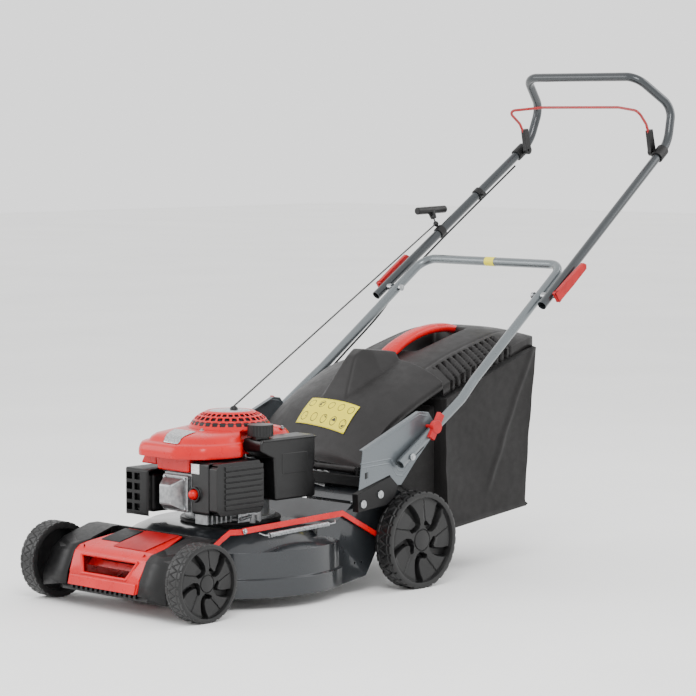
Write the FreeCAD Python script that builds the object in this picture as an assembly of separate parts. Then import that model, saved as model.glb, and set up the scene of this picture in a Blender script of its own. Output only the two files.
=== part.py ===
import FreeCAD, Part
import math
import os

V = FreeCAD.Vector

# Petrol lawn mower, pushed by hand. X runs across the machine, with the operator's left at +X,
# Y runs from the nose to the handle, and Z is up. Stations along Y are counted from the front
# wheels' centres, and export() moves the whole machine so that its middle is at Y = 0.

# ---- driving dimensions, millimetres -------------------------------------------------------
FRONT_WHEEL_R = 85.0
FRONT_WHEEL_WIDTH = 45.0
FRONT_WHEEL_FACE = 264.0        # outer face of a front wheel from the middle
REAR_WHEEL_R = 111.0
REAR_WHEEL_WIDTH = 47.5
REAR_WHEEL_FACE = 279.5
WHEELBASE = 650.0
HUB_R = 19.0
SPINDLE_R = 5.0
TREAD_DEPTH = 2.6
TREAD_LUGS = 30

CUT_WIDTH = 470.0               # tip to tip of the blade
TIP_CLEARANCE = 19.0            # blade tip to the skirt
SHEET = 2.2                     # pressed steel of the deck
SKIRT_Z = 27.0
SHOULDER_Z = 127.0
DECK_TOP_Z = 166.0
SHOULDER_R_DROP = 76.0
CRANK_Y = 310.0
HOUSING_X = 218.0               # half width of the chute housing
HOUSING_REAR_Y = 725.0
CHUTE_LIP_Z = 170.0
HINGE_Y = 538.0
HINGE_Z = 272.0

ROD_R = 6.0                     # cross rods of the axles
ARM_T = 5.0
CRANK_ARM = 45.0                # spindle to cross rod
CRANK_ANGLE = 30.0              # spindle above the cross rod at the lowest cut
LINK_T = 3.0
LINK_H = 13.0

TUBE_R = 11.0
TUBE_WALL = 1.5
FOLD_Y = 620.0                  # pivot of the lower handle
FOLD_Z = 304.0
LOWER_X = 258.0
KNEE_X = 249.0
KNEE_Y = 852.0
KNEE_Z = 461.0
CROSSBAR_X = 228.0
CROSSBAR_Y = 1195.0
CROSSBAR_Z = 716.0
CLAMP_BACK = 74.0               # clamp bolt from the fold bolt
CLAMP_RISE = 63.0
UPPER_FOLD_Y = 1098.0
UPPER_FOLD_Z = 646.5
UPPER_END = (272.7, 1065.0, 626.0)
UPPER_BEND = (228.0, 1594.0, 1004.6)
UPPER_BACK = (219.0, 1622.0, 1095.0)
UPPER_TOP = (180.0, 1528.0, 1171.0)
BAIL_Y = 1560.0
BAIL_Z = 985.0
BAIL_WIRE_R = 3.5

CASE_R = 88.0                   # engine crankcase
SHAFT_R = 12.5
HOOD_Z = 324.0
HOOD_TOP_Z = 366.0
GRILLE_R = 94.0
GRILLE_TOP_Z = 413.0
PLASTIC = 2.5                   # wall of moulded covers

BAG_X = 208.0
LID_FRONT_Y = 803.0
BAG_REAR_Y = 1132.0
BAG_FLOOR_Z = 111.0
BOLT_R = 4.0

RUN = 0.05                      # radial clearance of a turning fit
GAP = 0.5                       # clearance between pieces that move past each other

CHASSIS_X = FRONT_WHEEL_FACE - FRONT_WHEEL_WIDTH - 14.0
BLADE_R = CUT_WIDTH / 2
DECK_R = BLADE_R + TIP_CLEARANCE + SHEET + 3.0
REAR_WHEEL_Z = REAR_WHEEL_R
FRONT_WHEEL_Z = FRONT_WHEEL_R
NOSE_Y = -FRONT_WHEEL_R
TAIL_Y = UPPER_BACK[1] + 4.0
MIDDLE_Y = (NOSE_Y + TAIL_Y) / 2

# ---- details of the pieces, millimetres ---------------------------------------------------
MOUNT_HOLES = ((489.0, 70.0), (511.0, 70.0))
MOUNT_HOLE_R = 2.5
BRACKET_BOLTS = ((484.0, 207.0), (539.0, 224.0))
BRACKET_X = 243.0
PLATE_X = 229.5
COVER_X = 122.0
COVER_Z = 53.0
COVER_BACK_Y = 84.0
SLOT_X = 88.0
FLAP_HALF = 186.0
FLAP_END_Y = 798.0
FLAP_STATIONS = ((HINGE_Y + 10, 276, 14, FLAP_HALF - 6), (618, 362, 34, FLAP_HALF),
                 (700, 413, 44, FLAP_HALF + 6),
                 (FLAP_END_Y, 458, 46, FLAP_HALF + 12))
LID_STATIONS = ((LID_FRONT_Y, 440, 40, 199), (900, 480, 40, 202), (1040, 528, 34, 200),
                (BAG_REAR_Y, 549, 16, 192))
LID_SIDE = 24.0
GRIP_ARCH = ((826, 488), (868, 548), (965, 568), (1052, 560), (1085, 548))
CAM_X = 286.0
TUBE_ANGLE = 35.6
HOLDER_X = 199.5
ROPE_R = 2.0
ROPE_EXIT = V(0, CRANK_Y + 12, GRILLE_TOP_Z + 9)
GUIDE = V(-262, 1272, 800)
GRIP_CENTRE = V(-277, 1270, 833)
GUIDE_R = 7.0
CABLE_R = 2.5
CABLE_HIGH = [(-231, 1541, 944), (-237, 1471, 894), (-243, 1411, 851), (-247, 1351, 809),
              (-252, 1291, 766),
              (-256, 1231, 722), (-258, 1171, 679), (-254, 1112, 632), (-241, 1051, 586), (-242, 991,
                                                                                           541),
              (-245, 931, 497), (-245, 890, 467)]
CABLE_LOW = [(-245, 889.6, 466.7), (-240, 830, 426), (-236, 772, 394), (-235, 714, 364), (-233, 658, 334),
             (-229, 604, 307), (-222, 552, 281), (-208, 502, 262), (-184, 456, 250), (-150, 420, 243),
             (-112, 396, 238), (-73, 361.5, 230)]
CYL_X = 12.0
HEAD_Y = 142.0
ENGINE_Z = DECK_TOP_Z + 6.0
PULLEY_R = 45.0
HOOD_OUTLINE = ((-72, 98), (46, 98), (104, 134), (122, 190), (122, 246), (84, 262), (84, 440), (50, 466),
                (-72, 466), (-118, 424), (-130, 320), (-126, 200), (-106, 132))
TANK_CAP_Y = 287.0
TANK_CAP_X = 123.0


# ---- shapes --------------------------------------------------------------------------------
def export(node, *shapes):
    """Moves the finished piece to the machine's frame and writes it; several solids share a node."""
    solids = [solid for shape in shapes for solid in shape.Solids]
    piece = solids[0] if len(solids) == 1 else Part.makeCompound(solids)
    piece = piece.copy()
    piece.translate(V(0, -MIDDLE_Y, 0))
    piece.exportStep("parts/" + node + ".step")


def box(x0, x1, y0, y1, z0, z1):
    return Part.makeBox(x1 - x0, y1 - y0, z1 - z0, V(x0, y0, z0))


def rod(start, end, radius):
    """Round bar from one point to another."""
    a = V(*start)
    b = V(*end)
    return Part.makeCylinder(radius, (b - a).Length, a, b - a)


def rod_x(x0, x1, y, z, radius):
    return rod((x0, y, z), (x1, y, z), radius)


def rod_z(x, y, z0, z1, radius):
    return rod((x, y, z0), (x, y, z1), radius)


def rounded(points, radius):
    """Closed wire through 3-D corner points, with each corner rounded by an arc of the radius."""
    corners = [V(*p) for p in points]
    if radius == 0:
        return Part.makePolygon(corners + corners[:1])
    edges = []
    count = len(corners)
    ends = []
    for i, corner in enumerate(corners):
        back = (corners[i - 1] - corner).normalize()
        ahead = (corners[(i + 1) % count] - corner).normalize()
        half = math.acos(max(-1.0, min(1.0, back.dot(ahead)))) / 2
        reach = radius / math.tan(half)
        start = corner + back * reach
        end = corner + ahead * reach
        middle = corner + (back + ahead).normalize() * (radius / math.sin(half) - radius)
        ends.append((start, end))
        edges.append(Part.Arc(start, middle, end).toShape())
    for i in range(count):
        start = ends[i][1]
        end = ends[(i + 1) % count][0]
        if (end - start).Length > 1e-6:
            edges.append(Part.LineSegment(start, end).toShape())
    return Part.Wire(Part.__sortEdges__(edges))


def plate_x(points, x0, x1, radius=0):
    """Plate whose outline is in Y and Z, between two planes across X."""
    face = Part.Face(rounded([(x0, y, z) for y, z in points], radius))
    return face.extrude(V(x1 - x0, 0, 0))


def plate_z(points, z0, z1, radius=0):
    """Plate whose outline is in X and Y, between two heights."""
    face = Part.Face(rounded([(x, y, z0) for x, y in points], radius))
    return face.extrude(V(0, 0, z1 - z0))


def turned(profile, axis_x, axis_y):
    """Body of revolution about a vertical axis; the profile lists radius and height."""
    points = [V(axis_x + r, axis_y, z) for r, z in profile]
    face = Part.Face(Part.makePolygon(points + points[:1]))
    return face.revolve(V(axis_x, axis_y, 0), V(0, 0, 1), 360)


def bent_path(points, bends):
    """Wire of straight runs joined by tangent arcs, one bend radius for each inner point."""
    corners = [V(*p) for p in points]
    edges = []
    last = corners[0]
    for i in range(1, len(corners) - 1):
        back = (corners[i - 1] - corners[i]).normalize()
        ahead = (corners[i + 1] - corners[i]).normalize()
        half = math.acos(max(-1.0, min(1.0, back.dot(ahead)))) / 2
        reach = bends[i - 1] / math.tan(half)
        start = corners[i] + back * reach
        end = corners[i] + ahead * reach
        middle = corners[i] + (back + ahead).normalize() * (bends[i - 1] / math.sin(half) - bends[i - 1])
        edges.append(Part.LineSegment(last, start).toShape())
        edges.append(Part.Arc(start, middle, end).toShape())
        last = end
    edges.append(Part.LineSegment(last, corners[-1]).toShape())
    return Part.Wire(edges)


def swept(points, bends, radius):
    """Solid round bar along a bent path."""
    path = bent_path(points, bends)
    start = V(*points[0])
    ahead = V(*points[1]) - start
    ring = Part.Wire(Part.makeCircle(radius, start, ahead))
    return path.makePipeShell([ring], True, False)


def pipe(points, bends, radius, wall):
    return swept(points, bends, radius).cut(swept(points, bends, radius - wall))


def mirrored(shape):
    return shape.mirror(V(0, 0, 0), V(1, 0, 0))


def both_ways(points):
    """A path that runs up the left side of the machine and down the right."""
    return points + [(-x, y, z) for x, y, z in reversed(points)]


def near_arcs(points):
    """Bend radii of a free cord: 0.45 of the shorter run over the tangent of half the turn."""
    corners = [V(*p) for p in points]
    radii = []
    for i in range(1, len(corners) - 1):
        back = corners[i] - corners[i - 1]
        ahead = corners[i + 1] - corners[i]
        turn = back.getAngle(ahead)
        radii.append(0.45 * min(back.Length, ahead.Length) / math.tan(turn / 2))
    return radii


# ---- wheels: moulded wheel with five vanes and a ribbed tread ---------------------------------
def wheel(radius, width, face, y, z, side):
    """The wheel is made on the left with its outer face at `face`, and mirrored for the right."""
    inner = face - width
    rim_r = radius * 0.84
    tyre = rod_x(inner, face, 0, 0, radius)
    tyre = tyre.cut(rod_x(inner - 1, face + 1, 0, 0, rim_r))
    lug_angle = 360.0 / TREAD_LUGS
    groove_w = radius * 0.055
    for i in range(TREAD_LUGS):
        for start, end, slant in ((inner - 1, inner + width * 0.42, 4.0),
                                  (face - width * 0.42, face + 1, -4.0)):
            groove = box(start, end, -groove_w / 2, groove_w / 2, radius - TREAD_DEPTH, radius + 1)
            groove.rotate(V(0, 0, 0), V(1, 0, 0), lug_angle * i + slant)
            tyre = tyre.cut(groove)
    disc = rod_x(inner + 6, face - 7, 0, 0, rim_r)
    disc = disc.cut(rod_x(face - 16, face, 0, 0, rim_r - 4).cut(rod_x(face - 17, face, 0, 0, HUB_R)))
    disc = disc.cut(rod_x(inner, inner + 18, 0, 0, rim_r - 4).cut(rod_x(inner, inner + 19, 0, 0, HUB_R)))
    for i in range(5):
        slot = box(inner - 1, face + 1, -radius * 0.045, radius * 0.045, radius * 0.36, radius * 0.70)
        foot = box(inner - 1, face + 1, -radius * 0.045, radius * 0.27, radius * 0.63, radius * 0.70)
        window = slot.fuse(foot)
        window.rotate(V(0, 0, 0), V(1, 0, 0), 72.0 * i)
        disc = disc.cut(window)
    bore = rod_x(inner - 1, face - 10, 0, 0, SPINDLE_R + RUN)
    whole = tyre.fuse(disc.fuse(rod_x(inner + 2, face - 5, 0, 0, HUB_R))).cut(bore)
    whole.translate(V(0, y, z))
    return whole if side > 0 else mirrored(whole)


# ---- axles: a cross rod with a crank arm and a wheel spindle on each side -------------------
def spindle_offset(angle):
    return (CRANK_ARM * math.cos(math.radians(angle)), CRANK_ARM * math.sin(math.radians(angle)))


def rod_place(wheel_y, wheel_z):
    """Centre of the cross rod, ahead of the wheel and below its centre at the lowest cut."""
    dy, dz = spindle_offset(CRANK_ANGLE)
    return wheel_y - dy, wheel_z - dz


def pin_place(wheel_y, wheel_z):
    """Centre of the pin that the height link turns on, at the top of the crank arm."""
    y, z = rod_place(wheel_y, wheel_z)
    dy, dz = spindle_offset(180 - 2 * CRANK_ANGLE)
    return y + dy, z + dz


def axle(wheel_y, wheel_z, wall_x, wheel_face, link_outside):
    rod_y, rod_z0 = rod_place(wheel_y, wheel_z)
    pin_y, pin_z = pin_place(wheel_y, wheel_z)
    arm_in = wall_x + 1.5
    arm_out = arm_in + ARM_T
    pieces = [rod_x(-arm_in, arm_in, rod_y, rod_z0, ROD_R)]
    for side in (1, -1):
        arm = rod_x(arm_in, arm_out, rod_y, rod_z0, 11)
        corners = [(rod_y - 9, rod_z0 - 5), (wheel_y - 3, wheel_z - 9), (wheel_y, wheel_z + 9),
                   (rod_y, rod_z0 + 10)]
        arm = arm.fuse(plate_x(corners, arm_in, arm_out))
        arm = arm.fuse(rod_x(arm_in, arm_out, wheel_y, wheel_z, 9))
        if side > 0:
            reach = [(rod_y - 10, rod_z0), (pin_y - 7, pin_z), (pin_y + 7, pin_z),
                     (rod_y + 10, rod_z0 + 2)]
            arm = arm.fuse(plate_x(reach, arm_in, arm_out))
            arm = arm.fuse(rod_x(arm_in, arm_out, pin_y, pin_z, 7))
            arm = arm.fuse(rod_x(arm_out, arm_out + link_outside, pin_y, pin_z, 3))
        arm = arm.fuse(rod_x(arm_out - 1, wheel_face - 12, wheel_y, wheel_z, SPINDLE_R))
        pieces.append(arm if side > 0 else mirrored(arm))
    return pieces[0].multiFuse(pieces[1:]).removeSplitter()


# ---- deck: one pressed bowl with the chute housing behind it --------------------------------
def bowl(radius, shoulder, top):
    """Round bowl: an upright skirt, a rolled shoulder and a flat top."""
    flat_r = radius - SHOULDER_R_DROP
    step_r = radius - 5
    profile = [(0, SKIRT_Z - 1), (radius, SKIRT_Z - 1), (radius, shoulder * 0.52),
               (step_r, shoulder * 0.55)]
    profile += [(step_r, shoulder), (radius - 20, shoulder + 11), (radius - 46, shoulder + 26),
                (flat_r, top)]
    profile += [(0, top)]
    return turned(profile, 0, CRANK_Y)


def housing(inset):
    """Side outline of the chute housing, from the bowl back to the outlet."""
    outline = [(CRANK_Y + 60, SKIRT_Z - 1), (447, SKIRT_Z - 1), (525 - inset, 38 - inset)]
    outline += [(560, 92 + inset * 1.4), (HOUSING_REAR_Y + inset, CHUTE_LIP_Z - 14 + inset * 1.4)]
    outline += [(HOUSING_REAR_Y + inset, CHUTE_LIP_Z - inset * 0.3), (560, 262 - inset * 0.3)]
    outline += [(548 + inset, 246 - inset), (500 + inset, 219 - inset), (452 + inset, 184 - inset)]
    outline += [(424 + inset, DECK_TOP_Z - inset), (CRANK_Y + 60, DECK_TOP_Z - inset)]
    return plate_x(outline, -HOUSING_X + inset, HOUSING_X - inset)


def deck_shell():
    outside = bowl(DECK_R, SHOULDER_Z, DECK_TOP_Z).fuse(housing(0))
    inside = bowl(DECK_R - SHEET, SHOULDER_Z - SHEET, DECK_TOP_Z - SHEET).fuse(housing(SHEET))
    inside.translate(V(0, 0, -0.01))
    shell = outside.cut(inside)
    shell = shell.cut(box(-DECK_R - 1, DECK_R + 1, 0, HOUSING_REAR_Y + 9, 0, SKIRT_Z))
    outlet = plate_x([(560, 300), (560, 258), (HOUSING_REAR_Y - 3, CHUTE_LIP_Z - 6),
                      (760, CHUTE_LIP_Z - 6), (760, 300)],
                     -HOUSING_X + SHEET, HOUSING_X - SHEET)
    shell = shell.cut(outlet)
    seat = rod_z(0, CRANK_Y, DECK_TOP_Z, DECK_TOP_Z + 6, CASE_R + 22)
    shell = shell.fuse(seat).cut(rod_z(0, CRANK_Y, DECK_TOP_Z - 9, DECK_TOP_Z + 9, 40))
    rod_y, rod_z0 = rod_place(WHEELBASE, REAR_WHEEL_Z)
    shell = shell.cut(rod_x(-HOUSING_X - 9, HOUSING_X + 9, rod_y, rod_z0, ROD_R + RUN))
    ears = plate_x([(rod_y - 16, rod_z0 + 40), (rod_y - 13, rod_z0 - 14), (rod_y + 13, rod_z0 - 14),
                    (rod_y + 22, rod_z0 + 40)], HOUSING_X - SHEET, HOUSING_X)
    ears = ears.cut(rod_x(0, HOUSING_X + 9, rod_y, rod_z0, ROD_R + RUN))
    shell = shell.fuse(ears).fuse(mirrored(ears))
    for place_y, place_z in MOUNT_HOLES:
        shell = shell.cut(rod_x(HOUSING_X - 9, HOUSING_X + 9, place_y, place_z, MOUNT_HOLE_R))
    for place_y, place_z in BRACKET_BOLTS:
        shell = shell.cut(rod_x(-HOUSING_X - 9, HOUSING_X + 9, place_y, place_z, BOLT_R))
    return shell.removeSplitter()


# ---- front: black chassis, red cover with the carrying slot ---------------------------------
def front_chassis():
    side = [(-66, 38), (-30, 30), (66, 30), (66, 118), (92, 146), (92, 163), (66, 163), (10, 146),
            (-36, 126)]
    body = plate_x(side, -CHASSIS_X, CHASSIS_X)
    corner = [(118, -90), (132, -70), (CHASSIS_X, -22), (CHASSIS_X + 9, -22), (CHASSIS_X + 9, -90)]
    wedge = plate_z(corner, 0, 200)
    body = body.cut(wedge).cut(mirrored(wedge))
    hollow = [(-61, 30), (-61, 42), (-33, 121), (12, 141), (62, 156), (62, 118), (62, 20), (-61, 20)]
    walls = wedge_wall(118 - 5)
    body = body.cut(plate_x(hollow, -CHASSIS_X + 5, CHASSIS_X - 5).cut(walls).cut(mirrored(walls)))
    window = box(-COVER_X - GAP, COVER_X + GAP, -90, COVER_BACK_Y + GAP, COVER_Z - GAP, 200)
    body = body.cut(window)
    body = body.cut(bowl(DECK_R + 1, SHOULDER_Z + 1, DECK_TOP_Z + 1))
    rod_y, rod_z0 = rod_place(0, FRONT_WHEEL_Z)
    return body.cut(rod_x(-CHASSIS_X - 9, CHASSIS_X + 9, rod_y, rod_z0, ROD_R + RUN))


def wedge_wall(inner_x):
    """Keeps a wall behind the sloping corner faces of the chassis."""
    corner = [(inner_x, -95), (inner_x, -66), (CHASSIS_X - 8, -14), (CHASSIS_X + 9, -14),
              (CHASSIS_X + 9, -95)]
    return plate_z(corner, 0, 200)


def front_cover():
    face = [(-73, COVER_Z), (-66, 78), (-66, 82), (-47, 122), (-34, 133), (COVER_BACK_Y, 160)]
    back = [(COVER_BACK_Y, 156), (-32, 129), (-42, 120), (-61, 81), (-61, 77), (-68, COVER_Z)]
    body = plate_x(face + back, -COVER_X, COVER_X)
    taper = plate_z([(COVER_X - 12, -80), (COVER_X + 1, -40), (COVER_X + 1, -80)], 0, 200)
    taper_rear = plate_z([(COVER_X + 1, -20), (COVER_X - 34, COVER_BACK_Y + 1),
                          (COVER_X + 1, COVER_BACK_Y + 1)], 0, 200)
    for cut in (taper, taper_rear):
        body = body.cut(cut).cut(mirrored(cut))
    slot = plate_front([(-SLOT_X, 114), (SLOT_X, 114), (SLOT_X - 20, 82), (-SLOT_X + 20, 82)], -80, -30)
    pocket = plate_front([(-SLOT_X - 3, 117), (SLOT_X + 3, 117), (SLOT_X - 18, 79), (-SLOT_X + 18, 79)],
                         -62, -12)
    pocket = pocket.cut(plate_front([(-SLOT_X, 114), (SLOT_X, 114), (SLOT_X - 20, 82),
                                     (-SLOT_X + 20, 82)], -80, -15))
    profile = plate_x([(-64, 70), (-45, 117), (-34, 124), (-12, 124), (-12, 70)], -COVER_X, COVER_X)
    body = body.cut(slot).fuse(pocket.common(profile))
    return body.cut(bowl(DECK_R + 1, SHOULDER_Z + 1, DECK_TOP_Z + 1)).removeSplitter()


def plate_front(points, y0, y1):
    """Plate whose outline is in X and Z, between two stations along Y."""
    face = Part.Face(Part.makePolygon([V(x, y0, z) for x, z in points + points[:1]]))
    return face.extrude(V(0, y1 - y0, 0))


# ---- handle brackets and the hinge rail ------------------------------------------------------
def clamp_place():
    """Where the clamp bolt crosses the lower tube."""
    return FOLD_Y + CLAMP_BACK, FOLD_Z + CLAMP_RISE


def handle_bracket():
    clamp_y = clamp_place()[0]
    outline = [(474, 236), (487, 328), (clamp_y - 22, 402), (clamp_y + 8, 398), (clamp_y + 40, 358)]
    outline += [(660, 290), (611, 235), (588, 223), (560, 200), (470, 192)]
    side = plate_x(outline, BRACKET_X, BRACKET_X + 3, 8)
    rim = plate_x([(487, 328), (clamp_y - 22, 402), (clamp_y - 22, 398.5), (487, 324.5)], BRACKET_X - 9,
                  BRACKET_X)
    side = side.fuse(rim)
    for place_y, place_z in BRACKET_BOLTS:
        side = side.cut(rod_x(BRACKET_X - 9, BRACKET_X + 9, place_y, place_z, BOLT_R))
    side = side.cut(rod_x(BRACKET_X - 9, BRACKET_X + 9, FOLD_Y, FOLD_Z, BOLT_R))
    notch = box(BRACKET_X - 1, BRACKET_X + 4, -15, 15, -5, 5)
    notch.rotate(V(BRACKET_X, 0, 0), V(1, 0, 0), 32)
    notch.translate(V(0, FOLD_Y + 50, FOLD_Z + 8))
    return side.cut(notch)


def bracket_plate():
    outline = [(470, 196), (476, 234), (577, 262), (598, 242), (594, 232), (556, 205), (504, 193)]
    block = plate_x(outline, PLATE_X, BRACKET_X, 4)
    for place_y, place_z in BRACKET_BOLTS:
        block = block.fuse(rod_x(HOUSING_X, PLATE_X, place_y, place_z, 8))
        block = block.cut(rod_x(HOUSING_X - 1, BRACKET_X + 1, place_y, place_z, BOLT_R))
    return block.removeSplitter()


def bolt_x(x0, x1, y, z, head_r, head_t):
    """Bolt along X with its head at the outer end."""
    return rod_x(x0, x1, y, z, BOLT_R).fuse(rod_x(x1, x1 + head_t, y, z, head_r)).removeSplitter()


def hinge_rail():
    outline = [(HINGE_Y - 26, 240), (HINGE_Y - 26, 262), (HINGE_Y - 12, 262), (HINGE_Y - 12, 248),
               (HINGE_Y + 8, 254),
               (HINGE_Y + 8, 249), (HINGE_Y + 3, 243), (HINGE_Y - 8, 232)]
    rail = plate_x(outline, -HOUSING_X + 12, HOUSING_X - 12)
    rail = rail.cut(housing(0))
    for x in (-190, 184):
        ear = plate_x([(HINGE_Y - 14, 246), (HINGE_Y - 10, HINGE_Z + 9), (HINGE_Y + 10, HINGE_Z + 9),
                       (HINGE_Y + 10, 250)], x, x + 6)
        rail = rail.fuse(ear.cut(housing(0)))
    return rail.cut(rod_x(-300, 300, HINGE_Y, HINGE_Z, 4)).removeSplitter()


# ---- rear flap -----------------------------------------------------------------------------


def arch(y, side_z, crown, half, skirt, inset=0.0):
    """Closed section across X at one station: an arched top and short upright sides."""
    w = half - inset
    a = V(-w, y, side_z - inset)
    b = V(w, y, side_z - inset)
    top = Part.Arc(a, V(0, y, side_z + crown - inset), b).toShape()
    low_b = V(w, y, side_z - skirt)
    low_a = V(-w, y, side_z - skirt)
    return Part.Wire([top, Part.makeLine(b, low_b), Part.makeLine(low_b, low_a), Part.makeLine(low_a, a)])


def shell_over(stations, skirt, wall):
    """Arched cover through the stations, hollow underneath."""
    outer = Part.makeLoft([arch(y, z, c, w, skirt) for y, z, c, w in stations], True, False)
    spread = [list(station) for station in stations]
    for end, beside in ((0, 1), (-1, -2)):
        over = -9 if end == 0 else 9
        slope = (stations[end][1] - stations[beside][1]) / (stations[end][0] - stations[beside][0])
        spread[end][0] += over
        spread[end][1] += over * slope
    inner = Part.makeLoft([arch(y, z, c, w, skirt + 9, wall) for y, z, c, w in spread], True, False)
    return outer.cut(inner)


def rear_flap():
    flap = shell_over(FLAP_STATIONS, 20, PLASTIC)
    hump_out = wedge_loft(0)
    hump = hump_out.cut(wedge_loft(PLASTIC))
    cover = Part.makeLoft([arch(y, z, c, w, 90) for y, z, c, w in FLAP_STATIONS], True, False)
    flap = flap.fuse(hump.cut(cover))
    knuckle = rod_x(-170, 170, HINGE_Y, HINGE_Z, 8)
    web = plate_x([(HINGE_Y + 2, HINGE_Z + 5), (HINGE_Y + 12, HINGE_Z + 13), (HINGE_Y + 14, HINGE_Z + 8),
                   (HINGE_Y + 7, HINGE_Z - 1)], -170, 170)
    flap = flap.fuse(knuckle).fuse(web)
    return flap.cut(rod_x(-300, 300, HINGE_Y, HINGE_Z, 4 + RUN)).removeSplitter()


def wedge_loft(inset):
    """Air dome on the flap: rises from a low nose to a ridge and stays open at the back."""
    end = FLAP_END_Y + (9 if inset else 0)
    sections = ((652 + inset * 3, 20, 8, 400, 438), (722, 62, 26, 420, 524), (end, 84, 36, 440, 514))
    wires = []
    for y, low, high, z0, z1 in sections:
        points = [V(-low + inset, y, z0), V(-high + inset, y, z1 - inset),
                  V(high - inset, y, z1 - inset), V(low - inset, y, z0)]
        wires.append(Part.makePolygon(points + points[:1]))
    return Part.makeLoft(wires, True, True)


# ---- grass bag -----------------------------------------------------------------------------


def bag_lid():
    lid = shell_over(LID_STATIONS, LID_SIDE, PLASTIC)
    recess = rounded_recess(0).common(Part.makeLoft([arch(y, z, c, w, 90) for y, z, c,
                                                     w in LID_STATIONS], True, False))
    lid = lid.cut(rounded_recess(0)).fuse(recess.cut(rounded_recess(PLASTIC)))
    for i in range(12):
        y = 868 + i * 15
        z = 462 + (y - 868) * 0.33
        for x in (180, -212):
            lid = lid.cut(box(x, x + 32, y, y + 6, z - 12, z + 10))
    front = plate_front([(-150, 400), (150, 400), (150, 480), (-150, 480)], LID_FRONT_Y - 9,
                        LID_FRONT_Y + 9)
    return lid.cut(front)


def rounded_recess(inset):
    return box(-46 + inset, 46 - inset, 868 + inset, 1040 - inset, 506 + inset, 640)


def bag_handle():
    path = [(0, y, z) for y, z in GRIP_ARCH]
    bar = swept(path, [30, 60, 60], 11)
    wide = bar.copy()
    for shift in (-6, 6):
        move = bar.copy()
        move.translate(V(shift, 0, 0))
        wide = wide.fuse(move)
    solid = Part.makeLoft([arch(y, z, c, w, 90) for y, z, c, w in LID_STATIONS], True, False)
    return wide.cut(solid).removeSplitter().Solids[0]


def bag_outline(inset):
    rise = (552 - 440) / (BAG_REAR_Y - LID_FRONT_Y)
    top = 440 - LID_SIDE - 2
    main = [(LID_FRONT_Y + inset, top - inset), (BAG_REAR_Y - inset,
                                                 top + rise * (BAG_REAR_Y - LID_FRONT_Y) - inset)]
    main += [(1096 - inset, BAG_FLOOR_Z + 29 + inset), (834, BAG_FLOOR_Z + inset),
             (LID_FRONT_Y + inset, 150)]
    return main


def bag_fabric():
    outer = plate_x(bag_outline(0), -BAG_X, BAG_X, 12)
    inner = plate_x(bag_outline(SHEET), -BAG_X + SHEET, BAG_X - SHEET, 10)
    half = FLAP_HALF - 12
    snout = plate_x([(578, 280), (LID_FRONT_Y + SHEET, 408), (LID_FRONT_Y + SHEET, 190), (740, 190)],
                    -half, half)
    way = plate_x([(560, 268), (LID_FRONT_Y + 9, 405.5), (LID_FRONT_Y + 9, 193), (742, 193), (720, 172)],
                  -half + SHEET, half - SHEET)
    return outer.cut(inner).fuse(snout).cut(way).removeSplitter()


def bag_frame():
    half = FLAP_HALF - 12 - SHEET - 4
    low = (-half, 752, 198)
    corners = [(half, 752, 198), (half, 600, 284), (-half, 600, 284), low]
    return swept(corners + [(half - 20, 752, 198)], [14, 14, 14], 3)


# ---- handle ----------------------------------------------------------------------------------
def lower_handle():
    slope = (CROSSBAR_Z - KNEE_Z) / (CROSSBAR_Y - KNEE_Y)
    left = [(LOWER_X, FOLD_Y - 26, FOLD_Z - 16), (LOWER_X, 800, FOLD_Z + 180 * 0.655),
            (KNEE_X, KNEE_Y, KNEE_Z)]
    left += [(CROSSBAR_X, CROSSBAR_Y, KNEE_Z + slope * (CROSSBAR_Y - KNEE_Y))]
    tube = pipe(both_ways(left), [120, 120, 42, 42, 120, 120], TUBE_R, TUBE_WALL)
    clamp_y, clamp_z = clamp_place()
    tube = tube.cut(rod_x(-300, 300, FOLD_Y, FOLD_Z, BOLT_R + RUN))
    tube = tube.cut(rod_x(-300, 300, clamp_y, clamp_z, BOLT_R + RUN))
    return tube.cut(rod_x(-300, 300, UPPER_FOLD_Y, UPPER_FOLD_Z, BOLT_R + RUN))


def upper_handle():
    left = [UPPER_END, UPPER_BEND, UPPER_BACK, UPPER_TOP]
    tube = pipe(both_ways(left), [90, 46, 46, 46, 46, 90], TUBE_R, TUBE_WALL)
    return tube.cut(rod_x(-320, 320, UPPER_FOLD_Y, UPPER_FOLD_Z, BOLT_R))


def along_upper(y):
    """Centre of the left upper tube at a station."""
    t = (y - UPPER_END[1]) / (UPPER_BEND[1] - UPPER_END[1])
    return tuple(UPPER_END[i] + t * (UPPER_BEND[i] - UPPER_END[i]) for i in range(3))


def cam_bolt():
    lower_x = KNEE_X + (CROSSBAR_X - KNEE_X) * (UPPER_FOLD_Y - KNEE_Y) / (CROSSBAR_Y - KNEE_Y)
    upper_x = along_upper(UPPER_FOLD_Y)[0]
    bolt = rod_x(lower_x - TUBE_R - 5, CAM_X - 2, UPPER_FOLD_Y, UPPER_FOLD_Z, BOLT_R)
    bolt = bolt.fuse(rod_x(lower_x - TUBE_R - 8, lower_x - TUBE_R - 1.5, UPPER_FOLD_Y, UPPER_FOLD_Z, 8))
    sleeve = rod_x(lower_x + TUBE_R + 3 * GAP, upper_x, UPPER_FOLD_Y, UPPER_FOLD_Z, 9)
    return bolt.fuse(sleeve.cut(rod(UPPER_END, UPPER_BEND, TUBE_R))).removeSplitter()


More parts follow.
